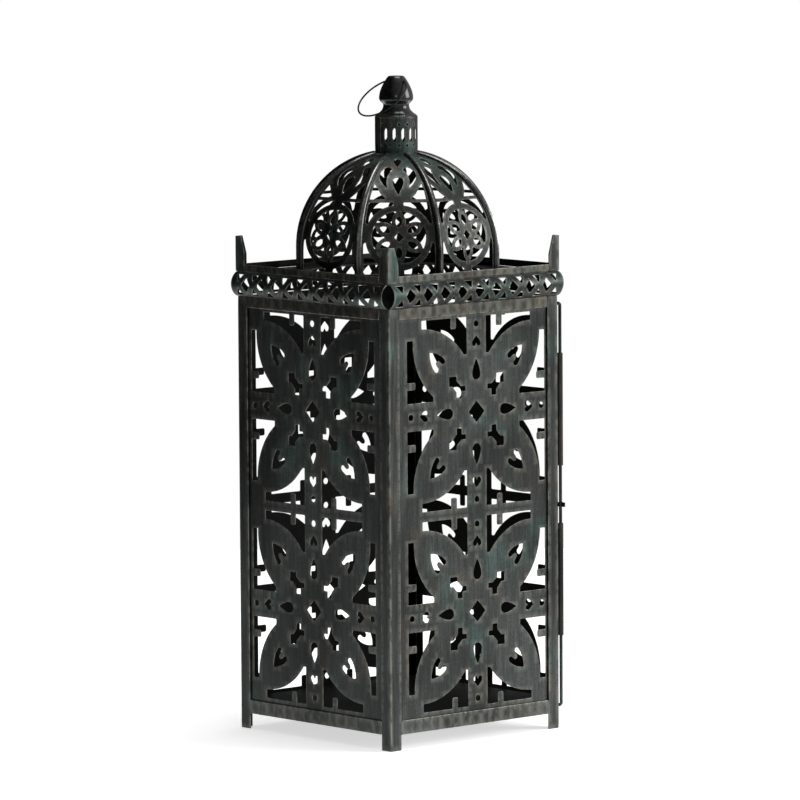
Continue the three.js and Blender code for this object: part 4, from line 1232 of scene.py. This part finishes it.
# ------------------------------------------------------------------ door fittings
@dataclass
class DoorFittings:
    """The hinge rod and its sleeves, the staple, and the latch."""

    finishes: Finishes

    def hinge(self) -> tuple[float, float]:
        """Returns the hinge line's place from the frame's joint, in millimetres."""
        joint = next(j for j in frame["joints"] if j["name"] == "door_hinge")
        return joint["pos_m"][0] / MM, joint["pos_m"][1] / MM

    def rod(self) -> None:
        """Builds the hinge rod: a round wire whose ends bend back to the post."""
        x, y = self.hinge()
        first, last = low("hinge_rod"), high("hinge_rod")
        radius = 1.5
        bend, foot, top = 2.2, first[2] + radius, last[2] - radius
        lower = arc(x - bend, foot + bend, bend, -math.pi / 2, 0, 0.3)
        upper = arc(x - bend, top - bend, bend, 0, math.pi / 2, 0.3)
        straight = np.column_stack([np.full(40, x), np.linspace(foot + bend, top - bend, 40)])
        line = np.vstack([[[first[0], foot]], lower[:-1], straight, upper[1:], [[first[0], top]]])
        path = np.column_stack([line[:, 0], np.full(len(line), y), line[:, 1]])
        around = np.linspace(0, 2 * math.pi, 16, endpoint=False)
        section = radius * np.column_stack([np.cos(around), -np.sin(around)])
        rod = carried("hinge_rod_bent", path, section, np.array([0, 1.0, 0]))
        dressed(rod, self.finishes.iron, "frame", "iron", "hinge_rod")

    def sleeves(self) -> None:
        """Builds the two rolled sleeves, each a tube with softened rims."""
        x, y = self.hinge()
        for node in ("door_sleeve_lower", "door_sleeve_upper"):
            foot, top = low(node)[2], high(node)[2]
            outer, inner, soft = 2.5, 1.9, 0.25
            profile = np.array(
                [[inner, foot + soft], [inner + soft, foot], [outer - soft, foot], [outer, foot + soft],
                 [outer, (foot + top) / 2], [outer, top - soft], [outer - soft, top],
                 [inner + soft, top], [inner, top - soft]]
            )
            sleeve = revolved(f"{node}_rolled", profile, 28, (x, y))
            sleeve.data.set_sharp_from_angle(angle=math.radians(40))
            dressed(sleeve, self.finishes.rail, "door", "bronzed", node)

    def small_parts(self) -> None:
        """Gives the staple and the latch their finish and a softened edge."""
        bodies = {"hinge_staple": "frame", "latch_pivot": "frame"}
        bodies |= {"latch_stud": "door", "latch_hook": "latch_hook"}
        for node, body in bodies.items():
            copy = bpy.data.objects.new(f"{node}_eased", frame["nodes"][node].data.copy())
            bpy.context.scene.collection.objects.link(copy)
            self.weld(copy.data)
            copy.data.materials.clear()
            bevel = copy.modifiers.new("eased", "BEVEL")
            bevel.width = 0.15 * MM
            bevel.segments = 2
            bevel.limit_method = "ANGLE"
            bevel.angle_limit = math.radians(50)
            dressed(copy, self.finishes.wire, body, "iron", node)

    def weld(self, mesh: bpy.types.Mesh) -> None:
        """Merges the loose triangles of a copied mesh."""
        work = bmesh.new()
        work.from_mesh(mesh)
        bmesh.ops.remove_doubles(work, verts=work.verts, dist=1e-6)
        work.to_mesh(mesh)
        work.free()

    def build(self) -> None:
        """Builds all the door's fittings."""
        self.rod()
        self.sleeves()
        self.small_parts()


# ------------------------------------------------------------------ stage
@dataclass
class Studio:
    """The pale floor, the soft lights and the camera."""

    azimuth: float = -41.834
    elevation: float = 5.9347
    roll: float = 0.3637
    distance: float = 6.1304
    target_z: float = 0.300
    lens: float = 306.1
    shift: float = 0.0025
    bright: float = 0.62
    dark: float = 0.02
    floor_radius: float = 1.3
    floor_sides: int = 96
    floor_glow: float = 0.62

    def floor(self) -> None:
        """Builds the flat round floor, small enough to leave the dark surround in the reflections."""
        rings = np.linspace(0.01, self.floor_radius, 12)
        angles = np.linspace(0, 2 * math.pi, self.floor_sides, endpoint=False)
        level = np.zeros((len(rings), len(angles)))
        circles = [rings[:, None] * np.cos(angles), rings[:, None] * np.sin(angles), level]
        points = np.stack(circles, -1).reshape(-1, 3)
        faces = grid_faces(len(rings), self.floor_sides, True).tolist()
        faces += [list(range(self.floor_sides))]
        floor = put("studio_floor", points / MM, faces)
        material = bpy.data.materials.new("pale_floor")
        material.use_nodes = True
        shader = material.node_tree.nodes["Principled BSDF"]
        shader.inputs["Base Color"].default_value = (0.93, 0.93, 0.93, 1)
        shader.inputs["Roughness"].default_value = 0.7
        shader.inputs["Emission Color"].default_value = (1, 1, 1, 1)
        shader.inputs["Emission Strength"].default_value = self.floor_glow
        floor.data.materials.append(material)

    def light(self, name: str, place: tuple[float, float, float], size: float, power: float) -> None:
        """Adds a square area light at a place in metres, aimed at the lantern's middle."""
        data = bpy.data.lights.new(name, "AREA")
        data.size = size
        data.energy = power
        lamp = bpy.data.objects.new(name, data)
        lamp.location = place
        lamp.rotation_euler = (Vector((0, 0, 0.3)) - Vector(place)).to_track_quat("-Z", "Y").to_euler()
        bpy.context.scene.collection.objects.link(lamp)

    def surround(self) -> None:
        """Adds a surround that is white behind the lantern and shaded away from the key side."""
        world = bpy.data.worlds.new("studio")
        world.use_nodes = True
        nodes, links = world.node_tree.nodes, world.node_tree.links
        place = nodes.new("ShaderNodeTexCoord")
        along = nodes.new("ShaderNodeVectorMath")
        along.operation = "DOT_PRODUCT"
        along.inputs[1].default_value = (0.62, -0.72, 0.30)
        links.new(place.outputs["Generated"], along.inputs[0])
        shade = nodes.new("ShaderNodeMapRange")
        limits = {"From Min": -0.35, "From Max": 1.0, "To Min": self.dark, "To Max": self.bright}
        for key, number in limits.items():
            shade.inputs[key].default_value = number
        links.new(along.outputs["Value"], shade.inputs["Value"])
        path = nodes.new("ShaderNodeLightPath")
        seen = nodes.new("ShaderNodeMix")
        links.new(path.outputs["Is Camera Ray"], seen.inputs["Factor"])
        links.new(shade.outputs["Result"], seen.inputs[2])
        seen.inputs[3].default_value = 1.0
        nodes["Background"].inputs["Color"].default_value = (1, 1, 1, 1)
        links.new(seen.outputs[0], nodes["Background"].inputs["Strength"])
        bpy.context.scene.world = world

    def lights(self) -> None:
        """Adds the soft lights: a large one on the right, a weak one on the left and one above."""
        self.light("key_right", (3.0, -3.2, 1.6), 2.2, 125.0)
        self.light("front_left", (-2.6, -2.9, 1.4), 0.8, 5.0)
        self.light("top", (0.4, -0.2, 3.0), 1.4, 40.0)

    def camera(self) -> None:
        """Sets the camera: long lens, far off, a little above the lantern's middle."""
        azimuth, elevation = math.radians(self.azimuth), math.radians(self.elevation)
        level = math.cos(elevation)
        back = Vector((math.sin(azimuth) * level, -math.cos(azimuth) * level, math.sin(elevation)))
        data = bpy.data.cameras.new("camera")
        data.lens = self.lens
        data.sensor_width = 36.0
        data.clip_end = 100.0
        data.shift_x = self.shift
        data.shift_y = -self.shift
        camera = bpy.data.objects.new("camera", data)
        aim = (-back).to_track_quat("-Z", "Y").to_matrix().to_4x4()
        camera.matrix_world = (
            Matrix.Translation(Vector((0, 0, self.target_z)) + back * self.distance)
            @ aim
            @ Matrix.Rotation(math.radians(-self.roll), 4, "Z")
        )
        bpy.context.scene.collection.objects.link(camera)
        bpy.context.scene.camera = camera

    def build(self) -> None:
        """Builds the whole studio."""
        self.floor()
        self.surround()
        self.lights()
        self.camera()
        bpy.context.scene.view_settings.view_transform = "Standard"


def main() -> None:
    """Builds every sub-assembly in order."""
    logging.basicConfig(level=logging.INFO, format="%(name)s %(message)s")
    finishes = Finishes()
    for part in (BodyFrame, PiercedPanels, Eaves, Dome, Crown, DoorFittings):
        part(finishes).build()
    Studio().build()


if __name__ == "__main__":
    main()
